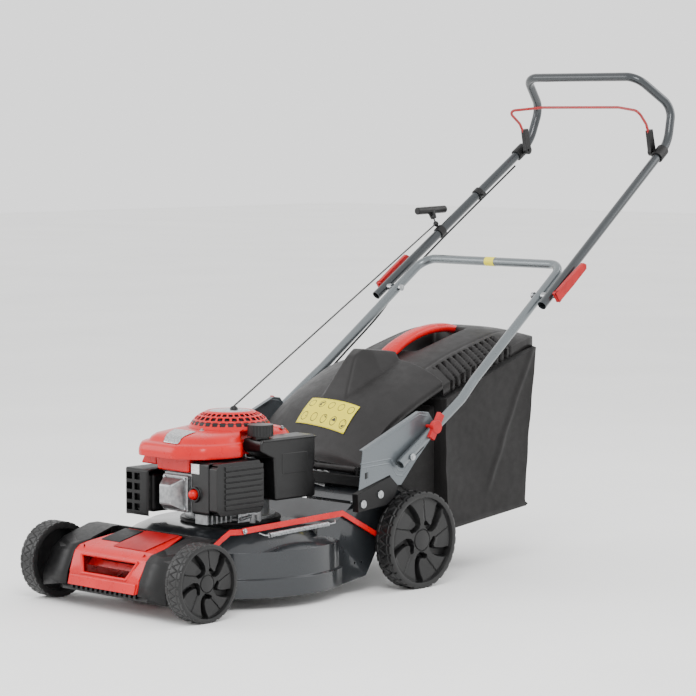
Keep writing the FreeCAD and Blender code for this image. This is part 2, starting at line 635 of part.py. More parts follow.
def cam_lever():
    """Long flat lever with a round cam; it lies along the tube and swings out on an upright pin."""
    cam = rod((CAM_X + 4, 0, -13), (CAM_X + 4, 0, 13), 5.5)
    grip = plate_x([(-3, 13), (60, 12), (120, 9), (126, 0), (120, -9), (60, -12), (-3, -13)],
                   CAM_X + 1, CAM_X + 11, 2)
    lever = cam.fuse(grip)
    lever.rotate(V(0, 0, 0), V(1, 0, 0), TUBE_ANGLE)
    lever.translate(V(0, UPPER_FOLD_Y, UPPER_FOLD_Z))
    return lever.removeSplitter()


def tube_clamp():
    clamp_y, clamp_z = clamp_place()
    body = rod_x(LOWER_X + TUBE_R + GAP, LOWER_X + TUBE_R + 13, clamp_y, clamp_z, 15)
    body = body.fuse(rod_x(BRACKET_X + 3 + GAP, LOWER_X + TUBE_R + 5, clamp_y, clamp_z, BOLT_R))
    wing = box(LOWER_X + TUBE_R + GAP, LOWER_X + TUBE_R + 11, -30, 34, -9, 9)
    wing.rotate(V(0, 0, 0), V(1, 0, 0), 58)
    wing.translate(V(0, clamp_y, clamp_z))
    return body.fuse(wing).removeSplitter()


def bail_path():
    left = [(HOLDER_X + 6, BAIL_Y - 10, BAIL_Z + 37), (HOLDER_X + 9, BAIL_Y - 27, BAIL_Z + 68)]
    left += [(214, BAIL_Y - 66, BAIL_Z + 101), (125, BAIL_Y - 34, BAIL_Z + 110)]
    return both_ways(left)


def bail_bar():
    return swept(bail_path(), [12, 14, 30, 30, 14, 12], BAIL_WIRE_R)


def bail_holder():
    eye = rod_x(HOLDER_X, HOLDER_X + 12, BAIL_Y, BAIL_Z, 11)
    arm = [(BAIL_Y - 10, BAIL_Z), (BAIL_Y - 20, BAIL_Z + 52), (BAIL_Y - 4, BAIL_Z + 56),
           (BAIL_Y + 10, BAIL_Z)]
    holder = eye.fuse(plate_x(arm, HOLDER_X, HOLDER_X + 12))
    holder = holder.cut(rod_x(100, 300, BAIL_Y, BAIL_Z, 3 + RUN))
    return holder.cut(bail_bar()).removeSplitter().Solids[0]


def collar(y, radius, length):
    """Clamp round the left upper tube at a station."""
    x, _, z = along_upper(y)
    along = V(*UPPER_BEND) - V(*UPPER_END)
    along.normalize()
    start = V(x, y, z) - along * (length / 2)
    ring = Part.makeCylinder(radius, length, start, along)
    return ring.cut(Part.makeCylinder(TUBE_R + GAP, length + 40, start - along * 20, along))


def bail_bracket():
    x = along_upper(BAIL_Y)[0]
    pin = rod_x(HOLDER_X - 3, x - TUBE_R - 1.5, BAIL_Y, BAIL_Z, 3)
    return collar(BAIL_Y, TUBE_R + 4.5, 34).fuse(pin).removeSplitter()


# ---- starter rope and stop cable -------------------------------------------------------------


def rope_guide():
    """Clamp on the right upper tube with an eye that the rope passes through."""
    x, y, z = along_upper(1281)
    band = mirrored(collar(1281, TUBE_R + 3.5, 18))
    out = V(GUIDE.x + x, GUIDE.y - y, GUIDE.z - z).normalize()
    stem = Part.makeCylinder(3.5, 12, V(-x, y, z) + out * (TUBE_R + 1), out)
    return band.fuse(stem).fuse(Part.makeSphere(GUIDE_R, GUIDE)).removeSplitter()


def starter_grip():
    pull = (GRIP_CENTRE - GUIDE).normalize()
    bar = rod((GRIP_CENTRE.x, GRIP_CENTRE.y - 52, GRIP_CENTRE.z),
              (GRIP_CENTRE.x, GRIP_CENTRE.y + 52, GRIP_CENTRE.z + 3), 9.5)
    neck = Part.makeCone(7.5, 10, 22, GRIP_CENTRE - pull * 22, pull)
    return bar.fuse(neck).removeSplitter()


def rope_pieces():
    join = ROPE_EXIT + (GUIDE - ROPE_EXIT) * 0.56
    guide_ball = Part.makeSphere(GUIDE_R, GUIDE)
    low = rod(tuple(ROPE_EXIT), tuple(join), ROPE_R)
    high = rod(tuple(join), tuple(GUIDE), ROPE_R).cut(guide_ball)
    end = rod(tuple(GUIDE), tuple(GRIP_CENTRE), ROPE_R).cut(guide_ball).cut(starter_grip())
    return low, high, end


def cable(points):
    """Held cable: a bend of the largest radius that each pair of runs allows."""
    radii = near_arcs(points)
    print("cable bend radii", [round(r) for r in radii])
    return swept(points, radii, CABLE_R)


def cable_clip():
    y = 1412
    clip = mirrored(collar(y, TUBE_R + 3.5, 16))
    x, _, z = along_upper(y)
    lug = rod((-x - 5, y, z), (-x + 22, y, z), 6)
    tube = rod((-UPPER_END[0], UPPER_END[1], UPPER_END[2]), (-UPPER_BEND[0], UPPER_BEND[1],
                                                             UPPER_BEND[2]), TUBE_R)
    return clip.fuse(lug).cut(tube).removeSplitter()


# ---- engine ----------------------------------------------------------------------------------


def engine_block():
    case = rod_z(0, CRANK_Y, ENGINE_Z, 236, CASE_R)
    flange = rod_z(0, CRANK_Y, ENGINE_Z, ENGINE_Z + 10, CASE_R + 14)
    barrel = box(CYL_X - 34, CYL_X + 34, HEAD_Y, CRANK_Y - 50, 212, 280)
    block = case.fuse(flange).fuse(barrel)
    for i in range(9):
        y = HEAD_Y + 8 * i
        block = block.fuse(box(CYL_X - 44, CYL_X + 44, y, y + 3.5, 202, 288))
    block = block.fuse(rod_z(0, CRANK_Y, 230, 292, 46))
    cylinder = rod((CYL_X, HEAD_Y - 1, 246), (CYL_X, CRANK_Y - 30, 246), 29)
    room = rod_z(0, CRANK_Y, ENGINE_Z + 10, 282, 40)
    block = block.cut(cylinder.fuse(room))
    return block.cut(rod_z(0, CRANK_Y, 0, 400, SHAFT_R + RUN)).removeSplitter()


def crankshaft():
    shaft = rod_z(0, CRANK_Y, 66, 330, SHAFT_R)
    web = rod_z(0, CRANK_Y, 226, 236, 30).fuse(rod_z(0, CRANK_Y, 256, 266, 30))
    return shaft.fuse(web).removeSplitter()


def flywheel():
    disc = rod_z(0, CRANK_Y, 300, 316, 84)
    for i in range(20):
        fin = box(52, 82, CRANK_Y - 1.6, CRANK_Y + 1.6, 316, 336)
        fin.rotate(V(0, CRANK_Y, 0), V(0, 0, 1), 18 * i)
        disc = disc.fuse(fin)
    return disc.cut(rod_z(0, CRANK_Y, 290, 340, SHAFT_R))


def blade():
    bar = box(-BLADE_R, BLADE_R, CRANK_Y - 24, CRANK_Y + 24, 44, 47.5)
    for turn in (0, 180):
        wing = plate_x([(CRANK_Y + 12, 44), (CRANK_Y + 24, 62), (CRANK_Y + 24, 66), (CRANK_Y + 9, 47.5)],
                       BLADE_R - 95, BLADE_R - 8)
        wing.rotate(V(0, CRANK_Y, 0), V(0, 0, 1), turn)
        bar = bar.fuse(wing)
    ring = rod_z(0, CRANK_Y, 0, 100, BLADE_R)
    return bar.common(ring).cut(rod_z(0, CRANK_Y, 0, 100, 5)).removeSplitter()


def blade_holder():
    hub = rod_z(0, CRANK_Y, 47.5, 95, 24).fuse(rod_z(0, CRANK_Y, 47.5, 55, 38))
    return hub.cut(rod_z(0, CRANK_Y, 66, 96, SHAFT_R)).cut(rod_z(0, CRANK_Y, 40, 70, 5)).removeSplitter()


def valve_cover():
    flange = plate_front([(CYL_X - 40, 204), (CYL_X + 40, 204), (CYL_X + 40, 284), (CYL_X - 40, 284)],
                         HEAD_Y - 10, HEAD_Y)
    box_part = plate_front([(CYL_X - 30, 210), (CYL_X + 30, 210), (CYL_X + 30, 276), (CYL_X - 30, 276)],
                           101, HEAD_Y - 9)
    cover = flange.fuse(box_part).removeSplitter()
    return cover.cut(box(CYL_X - 26, CYL_X + 26, 105, HEAD_Y + 1, 214, 272))


def muffler():
    body = box(-128, -66, 136, 226, 192, 280)
    body = body.makeFillet(10, body.Edges)
    inside = box(-124, -70, 140, 222, 196, 276)
    return body.cut(inside).fuse(rod((-68, 190, 240), (CYL_X - 44, 190, 240),
                                     11)).cut(rod((-80, 190, 240), (0, 190, 240), 8))


def muffler_guard():
    outer = box(-140, -60, 116, 232, 184, 290)
    outer = outer.makeFillet(9, [e for e in outer.Edges if abs(e.CenterOfMass.y - 116) < 1])
    guard = outer.cut(box(-136, -54, 120, 240, 176, 286))
    for i in range(2):
        for k in range(4):
            z = 196 + k * 23
            x = -132 + i * 26
            guard = guard.cut(box(x, x + 18, 110, 124, z, z + 15))
    return guard.cut(box(-66, -40, 130, 240, 170, 300))


def hood_section(z, scale, inset):
    """The hood's outline at one height, drawn in towards the crank axis."""
    points = []
    for x, y in HOOD_OUTLINE:
        reach = math.hypot(x, y - CRANK_Y)
        factor = scale * (reach - inset) / reach
        points.append(V(x * factor, CRANK_Y + (y - CRANK_Y) * factor, z))
    return Part.makePolygon(points + points[:1])


def engine_hood():
    outer = Part.makeLoft([hood_section(HOOD_Z, 1.0, 0), hood_section(HOOD_Z + 20, 0.99, 0),
                           hood_section(HOOD_TOP_Z - 6, 0.74, 0)], True, True)
    inner = Part.makeLoft([hood_section(HOOD_Z - 1, 1.0, 3.2), hood_section(HOOD_Z + 19, 0.99, 3.2),
                           hood_section(HOOD_TOP_Z - 9, 0.74, 3.2)], True, True)
    collar_ring = turned([(GRILLE_R - 3, HOOD_TOP_Z - 14), (GRILLE_R + 5, HOOD_TOP_Z - 10),
                          (GRILLE_R + 3, HOOD_TOP_Z),
                          (GRILLE_R - 3, HOOD_TOP_Z)], 0, CRANK_Y)
    tank_room = box(82, 220, CRANK_Y - 52, CRANK_Y + 140, HOOD_Z - 60, HOOD_TOP_Z - 3.5)
    shroud = plate_z([(-46, 128), (58, 128), (58, CRANK_Y - 84), (-46, CRANK_Y - 84)], 290, HOOD_Z + 2, 0)
    shroud = shroud.cut(plate_z([(-43, 131), (55, 131), (55, CRANK_Y), (-43, CRANK_Y)], 280, HOOD_Z + 9,
                                0))
    hood = outer.fuse(collar_ring).cut(inner).cut(rod_z(0, CRANK_Y, 300, 400, GRILLE_R - 3))
    return hood.fuse(shroud).cut(tank_room).removeSplitter()


def recoil_grille():
    z = HOOD_TOP_Z
    top = GRILLE_TOP_Z
    profile = [(GRILLE_R, z), (GRILLE_R, z + 5), (GRILLE_R - 8, z + 14), (GRILLE_R - 26, top - 6),
               (GRILLE_R - 38, top)]
    profile += [(0, top), (0, top - 3), (GRILLE_R - 39, top - 3), (GRILLE_R - 29, top - 9),
                (GRILLE_R - 11, z + 13)]
    profile += [(GRILLE_R - 4, z + 4), (GRILLE_R - 4, z)]
    dome = turned(profile, 0, CRANK_Y)
    for row, (inner_r, outer_r) in enumerate(((59, 67), (71, 81))):
        for i in range(24):
            hole = box(inner_r, outer_r, CRANK_Y - 5, CRANK_Y + 5, z + 8, top + 5)
            hole.rotate(V(0, CRANK_Y, 0), V(0, 0, 1), 15 * i + 7.5 * row)
            dome = dome.cut(hole)
    eyelet = Part.makeCylinder(6, 6.5, V(ROPE_EXIT.x, ROPE_EXIT.y, top))
    hub = rod_z(0, CRANK_Y, HOOD_TOP_Z - 22, top - 3, 7)
    return dome.fuse(eyelet).fuse(hub).removeSplitter()


def recoil_pulley():
    z = HOOD_TOP_Z - 20
    wheel_part = rod_z(0, CRANK_Y, z, z + 16, PULLEY_R + 4)
    groove = turned([(PULLEY_R - 4, z + 5), (PULLEY_R + 5, z + 5), (PULLEY_R + 5, z + 11),
                     (PULLEY_R - 4, z + 11)], 0, CRANK_Y)
    return wheel_part.cut(groove).cut(rod_z(0, CRANK_Y, z - 1, z + 17, 7 + RUN))


def fuel_tank():
    outline = [(307, 222), (431, 222), (431, 262), (426, 272), (426, 286), (431, 296), (431, 362),
               (268, 362),
               (262, 352), (262, 334), (302, 316)]
    tank = plate_x(outline, 90, 152, 5)
    hollow = plate_x([(311, 226), (425, 226), (420, 290), (427, 300), (427, 358), (270, 358), (268, 338),
                      (308, 318)], 94, 148, 3)
    neck = rod_z(TANK_CAP_X, TANK_CAP_Y, 355, 378, 20)
    return tank.cut(hollow).fuse(neck).cut(rod_z(TANK_CAP_X, TANK_CAP_Y, 340, 380, 17)).removeSplitter()


def fuel_cap():
    cap = rod_z(TANK_CAP_X, TANK_CAP_Y, 367, 393, 29)
    for i in range(24):
        groove = box(27.8, 31, -1.2, 1.2, 366, 390)
        groove.rotate(V(0, 0, 0), V(0, 0, 1), 15 * i)
        groove.translate(V(TANK_CAP_X, TANK_CAP_Y, 0))
        cap = cap.cut(groove)
    return cap.cut(rod_z(TANK_CAP_X, TANK_CAP_Y, 360, 379, 20 + GAP))


def air_filter_base():
    body = box(62, 121, 132, 276, 202, 318)
    body = body.makeFillet(8, [e for e in body.Edges if abs(e.CenterOfMass.x - 121) > 1])
    around_case = rod_z(0, CRANK_Y, 0, 400, CASE_R + 4)
    body = body.cut(around_case).cut(box(66, 122, 136, 272, 206,
                                         314).cut(rod_z(0, CRANK_Y, 0, 400, CASE_R + 8)))
    body = body.fuse(rod((80, 126, 247), (80, 134, 247), 17))
    return body.cut(rod((80, 120, 247), (80, 140, 247), 12)).removeSplitter()


def air_filter_cover():
    outline = [(134, 214), (146, 202), (266, 202), (276, 216), (276, 296), (262, 318), (146, 318),
               (134, 306)]
    cover = plate_x(outline, 121.3, 146, 4).cut(plate_x(outline, 118, 142,
                                                        4).common(box(110, 143, 139, 271, 207, 313)))
    for i in range(8):
        z = 214 + 12.4 * i
        cover = cover.fuse(box(145, 149, 158, 272, z, z + 9.5))
    return cover.removeSplitter()


def carburettor():
    body = box(CYL_X + 44.5, 61.5, 196, 236, 224, 262)
    bowl_part = rod_z(59, 216, 206, 225, 2)
    throat = rod((CYL_X + 40, 216, 246), (70, 216, 246), 8)
    return body.fuse(bowl_part).cut(throat)


def primer_bulb():
    dome = Part.makeSphere(11, V(80, 124, 247))
    stem = rod((80, 124, 247), (80, 133, 247), 11)
    return dome.fuse(stem).removeSplitter()


def oil_cap():
    cap = rod_z(-70, CRANK_Y + 62, 240, 256, 14)
    stem = rod_z(-70, CRANK_Y + 62, 236, 241, 8)
    return cap.fuse(stem).fuse(box(-84, -56, CRANK_Y + 59, CRANK_Y + 65, 254, 262)).removeSplitter()


# ---- height link and its spring ---------------------------------------------------------------
def link_x():
    return CHASSIS_X + 1.5 + ARM_T + 1.5


def rear_link_x():
    return HOUSING_X + 1.5 + ARM_T + 1.5


def strip(points, x0, x1):
    """Flat strip on edge that follows points in Y and Z."""
    upper = [(y, z + LINK_H / 2) for y, z in points]
    lower = [(y, z - LINK_H / 2) for y, z in reversed(points)]
    return plate_x(upper + lower, x0, x1)


def height_link():
    front = pin_place(0, FRONT_WHEEL_Z)
    rear = pin_place(WHEELBASE, REAR_WHEEL_Z)
    x0 = link_x()
    x1 = rear_link_x()
    ahead = [front, (front[0] + 30, front[1] + 6), (40, 139), (85, 166), (108, 178)]
    behind = [(134, 180), (440, 189), (546, 132), rear]
    bar = strip(ahead, x0, x0 + LINK_T).fuse(strip(behind, x1, x1 + LINK_T))
    jog = plate_z([(x0, 107), (x0 + LINK_T, 107), (x1 + LINK_T, 131), (x1 + LINK_T, 136), (x1, 136),
                   (x0, 111)],
                  179 - LINK_H / 2, 179 + LINK_H / 2 - 1)
    bar = bar.fuse(jog)
    for place, x in ((front, x0), (rear, x1)):
        bar = bar.fuse(rod_x(x, x + LINK_T, place[0], place[1], 8))
    bar = bar.cut(rod_x(x1 - 9, x1 + 9, rear[0], rear[1], 3 + RUN))
    bar = bar.cut(rod_x(x0 - 9, x0 + 9, front[0], front[1], 3.6))
    return bar.removeSplitter()


def height_spring():
    x = rear_link_x() + LINK_T + 8
    body = rod((x, 205, 165), (x, 385, 171), 6)
    hook = rod((x, 385, 171), (x, 408, 170), 1.6)
    tail = rod((x, 178, 170), (x, 205, 165), 1.6)
    return body.fuse(hook).fuse(tail).removeSplitter()


# ---- write every piece -----------------------------------------------------------------------
os.makedirs("parts", exist_ok=True)

export("deck_shell", deck_shell())
export("front_chassis", front_chassis())
export("front_cover", front_cover())
export("handle_bracket_left", handle_bracket())
export("handle_bracket_right", mirrored(handle_bracket()))
export("bracket_plates", bracket_plate(), mirrored(bracket_plate()))
bolts = [bolt_x(HOUSING_X - 6, BRACKET_X + 3, y, z, 9, 6) for y, z in BRACKET_BOLTS]
bolts.append(bolt_x(BRACKET_X - 4, LOWER_X + TUBE_R + 1, FOLD_Y, FOLD_Z, 8, 5))
export("frame_bolts", *bolts, *[mirrored(bolt) for bolt in bolts])
export("hinge_rail", hinge_rail())
export("flap_rod", rod_x(-HOUSING_X + 16, HOUSING_X - 16, HINGE_Y, HINGE_Z, 4))
export("height_spring", height_spring())
export("height_link", height_link())

export("front_axle", axle(0, FRONT_WHEEL_Z, CHASSIS_X, FRONT_WHEEL_FACE, 1.5 + LINK_T + 1.5))
export("rear_axle", axle(WHEELBASE, REAR_WHEEL_Z, HOUSING_X, REAR_WHEEL_FACE, 1.5 + LINK_T + 1.0))
for side, name in ((1, "left"), (-1, "right")):
    export("front_wheel_" + name, wheel(FRONT_WHEEL_R, FRONT_WHEEL_WIDTH, FRONT_WHEEL_FACE, 0,
                                        FRONT_WHEEL_Z, side))
    export("rear_wheel_" + name, wheel(REAR_WHEEL_R, REAR_WHEEL_WIDTH, REAR_WHEEL_FACE, WHEELBASE,
                                       REAR_WHEEL_Z, side))

export("rear_flap", rear_flap())
export("bag_lid", bag_lid())
export("bag_handle", bag_handle())
export("bag_fabric", bag_fabric())
export("bag_frame", bag_frame())

export("lower_handle", lower_handle())
export("upper_handle", upper_handle())
export("cam_bolts", cam_bolt(), mirrored(cam_bolt()))
export("cam_lever_left", cam_lever())
export("cam_lever_right", mirrored(cam_lever()))
export("tube_clamp_left", tube_clamp())
export("tube_clamp_right", mirrored(tube_clamp()))
export("bail_bar", bail_bar())
export("bail_holders", bail_holder(), mirrored(bail_holder()))
export("bail_brackets", bail_bracket(), mirrored(bail_bracket()))
export("rope_guide", rope_guide())
export("starter_grip", starter_grip())
rope_low, rope_high, rope_end = rope_pieces()
export("starter_rope_low", rope_low)
export("starter_rope_high", rope_high)
export("starter_rope_end", rope_end)
export("stop_cable_high", cable(CABLE_HIGH))
export("stop_cable_low", cable(CABLE_LOW))
export("cable_clip", cable_clip())

export("engine_block", engine_block())
export("crankshaft", crankshaft())
export("flywheel", flywheel())
export("blade_holder", blade_holder())
export("blade", blade())
export("blade_bolt", rod_z(0, CRANK_Y, 36, 44, 9).fuse(rod_z(0, CRANK_Y, 43, 64, 5)).removeSplitter())
export("valve_cover", valve_cover())
export("muffler", muffler())
export("muffler_guard", muffler_guard())
export("engine_hood", engine_hood())
export("recoil_grille", recoil_grille())
export("recoil_pulley", recoil_pulley())
export("fuel_tank", fuel_tank())
export("fuel_cap", fuel_cap())
export("air_filter_base", air_filter_base())
export("air_filter_cover", air_filter_cover())
export("carburettor", carburettor())
export("primer_bulb", primer_bulb())
export("oil_cap", oil_cap())
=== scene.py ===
import bpy, bmesh, math
import numpy as np
from mathutils import Matrix, Vector
from mathutils.bvhtree import BVHTree


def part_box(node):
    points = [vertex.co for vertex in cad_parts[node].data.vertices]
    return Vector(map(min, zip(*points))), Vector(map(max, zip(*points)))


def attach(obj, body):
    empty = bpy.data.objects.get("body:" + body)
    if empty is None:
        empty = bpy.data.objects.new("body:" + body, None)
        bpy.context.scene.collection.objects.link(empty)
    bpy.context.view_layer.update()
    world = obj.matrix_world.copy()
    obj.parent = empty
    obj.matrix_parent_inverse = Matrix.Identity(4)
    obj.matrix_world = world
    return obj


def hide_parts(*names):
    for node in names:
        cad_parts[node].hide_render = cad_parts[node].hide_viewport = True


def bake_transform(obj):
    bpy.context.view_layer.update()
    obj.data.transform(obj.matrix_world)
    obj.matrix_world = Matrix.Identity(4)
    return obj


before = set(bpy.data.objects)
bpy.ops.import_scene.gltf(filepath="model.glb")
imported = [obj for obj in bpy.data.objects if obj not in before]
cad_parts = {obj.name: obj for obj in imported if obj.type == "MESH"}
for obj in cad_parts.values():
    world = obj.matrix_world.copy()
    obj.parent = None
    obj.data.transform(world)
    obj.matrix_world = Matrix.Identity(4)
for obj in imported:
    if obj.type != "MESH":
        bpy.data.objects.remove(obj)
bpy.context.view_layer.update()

# Camera. A long lens stands off the front left corner at head height; its place is given from
# the front axle, so that it keeps its distance to the wheels.
axle_low, axle_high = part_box("front_wheel_left")
AXLE_Y = (axle_low[1] + axle_high[1]) / 2


def at(x, y, z):
    """Point in the frame, in metres, from a station counted rearwards from the front axle."""
    return Vector((x, y + AXLE_Y, z))


CAMERA_TURN = math.radians(44.62)
CAMERA_DIP = math.radians(4.69)
CAMERA_LENS = 147.3
camera = bpy.data.objects.new("camera", bpy.data.cameras.new("camera"))
bpy.context.scene.collection.objects.link(camera)
camera.data.lens = CAMERA_LENS
camera.data.sensor_width = 36.0
camera.data.clip_end = 60.0
camera.location = at(4.6709, -4.0450, 1.0775)
camera.rotation_euler = (math.pi / 2 - CAMERA_DIP, 0.0, CAMERA_TURN)
bpy.context.scene.camera = camera

# Studio. A pale flat floor, a bright even sky, and three large soft lamps that give the enamel
# long highlights.
world = bpy.data.worlds.new("studio")
bpy.context.scene.world = world
world.use_nodes = True
world.node_tree.nodes["Background"].inputs["Color"].default_value = (1.0, 1.0, 1.0, 1.0)
world.node_tree.nodes["Background"].inputs["Strength"].default_value = 1.6


def lamp(name, place, aim, size, power):
    """Square area light at a place, turned to face a point."""
    light = bpy.data.lights.new(name, "AREA")
    light.size = size
    light.energy = power
    lit = bpy.data.objects.new(name, light)
    bpy.context.scene.collection.objects.link(lit)
    lit.location = place
    lit.rotation_euler = (Vector(aim) - Vector(place)).to_track_quat("-Z", "Y").to_euler()


lamp("key", at(2.2, -1.6, 3.0), at(0, 0.6, 0.3), 1.6, 95)
lamp("fill", at(-2.4, -1.8, 1.7), at(0, 0.5, 0.4), 2.0, 40)
lamp("rear", at(1.4, 3.4, 2.4), at(0, 0.8, 0.5), 2.0, 40)


def linear(code):
    """sRGB hex colour to linear values, by the usual power curve with its straight toe."""
    levels = [int(code[i:i + 2], 16) / 255 for i in (1, 3, 5)]
    return tuple(v / 12.92 if v <= 0.04045 else ((v + 0.055) / 1.055) ** 2.4 for v in levels) + (1.0,)


def add(tree, kind, values=(), links=(), **settings):
    """Adds one node: its settings, its socket values by name, and its links as (socket, source)."""
    made = tree.nodes.new(kind)
    for key, value in settings.items():
        setattr(made, key, value)
    for socket, value in dict(values).items():
        made.inputs[socket].default_value = value
    for socket, source in dict(links).items():
        tree.links.new(source, made.inputs[socket])
    return made


def finish_of(name, **values):
    """A new material with its Principled shader's own sockets set, and the piece's coordinates."""
    material = bpy.data.materials.new(name)
    material.use_nodes = True
    tree = material.node_tree
    shader = tree.nodes["Principled BSDF"]
    for key, value in values.items():
        shader.inputs[key.replace("_", " ")].default_value = value
    place = add(tree, "ShaderNodeTexCoord").outputs["Object"]
    return material, tree, shader, place


def mottle(tree, shader, place, dark, light, size, detail=4.0):
    """Base colour that drifts between two hex colours over patches of the given size in metres."""
    noise = add(tree, "ShaderNodeTexNoise", {"Scale": 1 / size, "Detail": detail}, {"Vector": place})
    ramp = add(tree, "ShaderNodeValToRGB", links={"Fac": noise.outputs["Fac"]})
    ramp.color_ramp.elements[0].position = 0.36
    ramp.color_ramp.elements[1].position = 0.64
    ramp.color_ramp.elements[0].color = linear(dark)
    ramp.color_ramp.elements[1].color = linear(light)
    tree.links.new(ramp.outputs["Color"], shader.inputs["Base Color"])
    return noise


def grain(tree, shader, place, size, height, strength=1.0, previous=None):
    """Bump of rounded grains of the given size and height in metres."""
    noise = add(tree, "ShaderNodeTexNoise", {"Scale": 1 / size, "Detail": 3.0}, {"Vector": place})
    links = {"Height": noise.outputs["Fac"]}
    if previous:
        links["Normal"] = previous.outputs["Normal"]
    bump = add(tree, "ShaderNodeBump", {"Distance": height, "Strength": strength}, links)
    tree.links.new(bump.outputs["Normal"], shader.inputs["Normal"])
    return bump


def wear(tree, shader, place, low, high, size):
    """Roughness that wanders between two values over patches of the given size."""
    noise = add(tree, "ShaderNodeTexNoise", {"Scale": 1 / size, "Detail": 5.0}, {"Vector": place})
    spread = add(tree, "ShaderNodeMapRange", {"From Min": 0.3, "From Max": 0.7, "To Min": low,
                 "To Max": high},
                 {"Value": noise.outputs["Fac"]})
    tree.links.new(spread.outputs["Result"], shader.inputs["Roughness"])


def surfaced(name, tones, sheen, texture, **values):
    """Material of the common kind: mottled tones, an uneven sheen and a fine grain, each given as
    the values that mottle, wear and grain take."""
    material, tree, shader, place = finish_of(name, **values)
    mottle(tree, shader, place, *tones)
    wear(tree, shader, place, *sheen)
    grain(tree, shader, place, *texture)
    return material


floor_paint, tree, shader, place = finish_of("pale studio floor", Roughness=0.75)
mottle(tree, shader, place, "#f4f4f3", "#f8f8f7", 0.8)
FLOOR_SIZE = 40.0
floor_mesh = bpy.data.meshes.new("floor")
half = FLOOR_SIZE / 2
floor_mesh.from_pydata(
    [(-half, -half, 0), (half, -half, 0), (half, half, 0), (-half, half, 0)], [], [(0, 1, 2, 3)])
floor = bpy.data.objects.new("floor", floor_mesh)
bpy.context.scene.collection.objects.link(floor)
floor.data.materials.append(floor_paint)


# Starter rope and stop cable. The rope is 4 mm braided polyester, drawn tight from the starter
# through the guide on the right tube; the cable is a 5 mm sheathed steel cable clipped to the tubes.
rope_braid, tree, shader, place = finish_of("braided polyester rope", Roughness=0.7)
mottle(tree, shader, place, "#232324", "#3b3b3c", 0.004)
grain(tree, shader, place, 0.0012, 0.0005)
cable_sheath, tree, shader, place = finish_of("PVC cable sheath", Roughness=0.35)
mottle(tree, shader, place, "#121212", "#1c1c1d", 0.03)
grain(tree, shader, place, 0.002, 0.0001)


def line_object(name, points, radius, material, order=3):
    """Round cord along a smooth spline with the points as its control points."""
    data = bpy.data.curves.new(name, "CURVE")
    data.dimensions = "3D"
    data.bevel_depth = radius
    data.bevel_resolution = 4
    data.resolution_u = 12
    data.use_fill_caps = True
    spline = data.splines.new("NURBS")
    spline.points.add(len(points) - 1)
    for point, target in zip(spline.points, points):
        point.co = (*target, 1.0)
    spline.order_u = min(order, len(points))
    spline.use_endpoint_u = True
    data.materials.append(material)
    cord = bpy.data.objects.new(name, data)
    bpy.context.scene.collection.objects.link(cord)
    return cord


def cord_mesh(cord):
    """The cord's surface as a mesh object of the same name."""
    graph = bpy.context.evaluated_depsgraph_get()
    mesh = bpy.data.meshes.new_from_object(cord.evaluated_get(graph))
    name = cord.name
    material = cord.data.materials[0]
    bpy.data.objects.remove(cord)
    solid = bpy.data.objects.new(name, mesh)
    bpy.context.scene.collection.objects.link(solid)
    solid.data.materials.clear()
    solid.data.materials.append(material)
    solid.data.polygons.foreach_set("use_smooth", [True] * len(solid.data.polygons))
    return solid


ROPE_R = 0.002
rope_exit = at(0.0, 0.322, 0.422)
rope_guide_eye = at(-0.262, 1.272, 0.800)
rope_join = rope_exit + (rope_guide_eye - rope_exit) * 0.56
grip_centre = at(-0.277, 1.270, 0.833)
ROPE_STEPS = 24


def straight(start, end, steps):
    """Evenly spaced points on a line."""
    return [start + (end - start) * (i / steps) for i in range(steps + 1)]


fold_low = at(0.0, 0.620, 0.304)
fold_high = at(0.0, 1.098, 0.6465)
rope_low = cord_mesh(
    line_object("starter_rope_lower_run", straight(rope_exit, rope_join, ROPE_STEPS), ROPE_R, rope_braid))
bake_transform(rope_low)
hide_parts("starter_rope_low")
rope_high = cord_mesh(
    line_object("starter_rope_upper_run", straight(rope_join, rope_guide_eye, ROPE_STEPS), ROPE_R,
    rope_braid))
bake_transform(rope_high)
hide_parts("starter_rope_high")
rope_end = cord_mesh(
    line_object("starter_rope_end", straight(rope_guide_eye, grip_centre, 6), ROPE_R, rope_braid))
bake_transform(rope_end)
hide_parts("starter_rope_end")

CABLE_R = 0.0025
CABLE_HIGH = [(-0.231, 1.541, 0.944), (-0.237, 1.471, 0.894), (-0.243, 1.411, 0.851),
              (-0.247, 1.351, 0.809),
              (-0.252, 1.291, 0.766), (-0.256, 1.231, 0.722), (-0.258, 1.171, 0.679),
              (-0.254, 1.112, 0.632),
              (-0.241, 1.051, 0.586), (-0.242, 0.991, 0.541), (-0.245, 0.931, 0.497),
              (-0.245, 0.890, 0.467)]
CABLE_LOW = [(-0.245, 0.8896, 0.4667), (-0.240, 0.830, 0.426), (-0.236, 0.772, 0.394),
             (-0.235, 0.714, 0.364),
             (-0.233, 0.658, 0.334), (-0.229, 0.604, 0.307), (-0.222, 0.552, 0.281), (-0.208, 0.502, 0.262),
             (-0.184, 0.456, 0.250), (-0.150, 0.420, 0.243), (-0.112, 0.396, 0.238),
             (-0.073, 0.3615, 0.230)]
cable_high = cord_mesh(
    line_object("stop_cable_upper_run", [at(*p) for p in CABLE_HIGH], CABLE_R, cable_sheath))
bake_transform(cable_high)
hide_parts("stop_cable_high")
cable_low = cord_mesh(
    line_object("stop_cable_lower_run", [at(*p) for p in CABLE_LOW], CABLE_R, cable_sheath))
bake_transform(cable_low)
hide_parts("stop_cable_low")


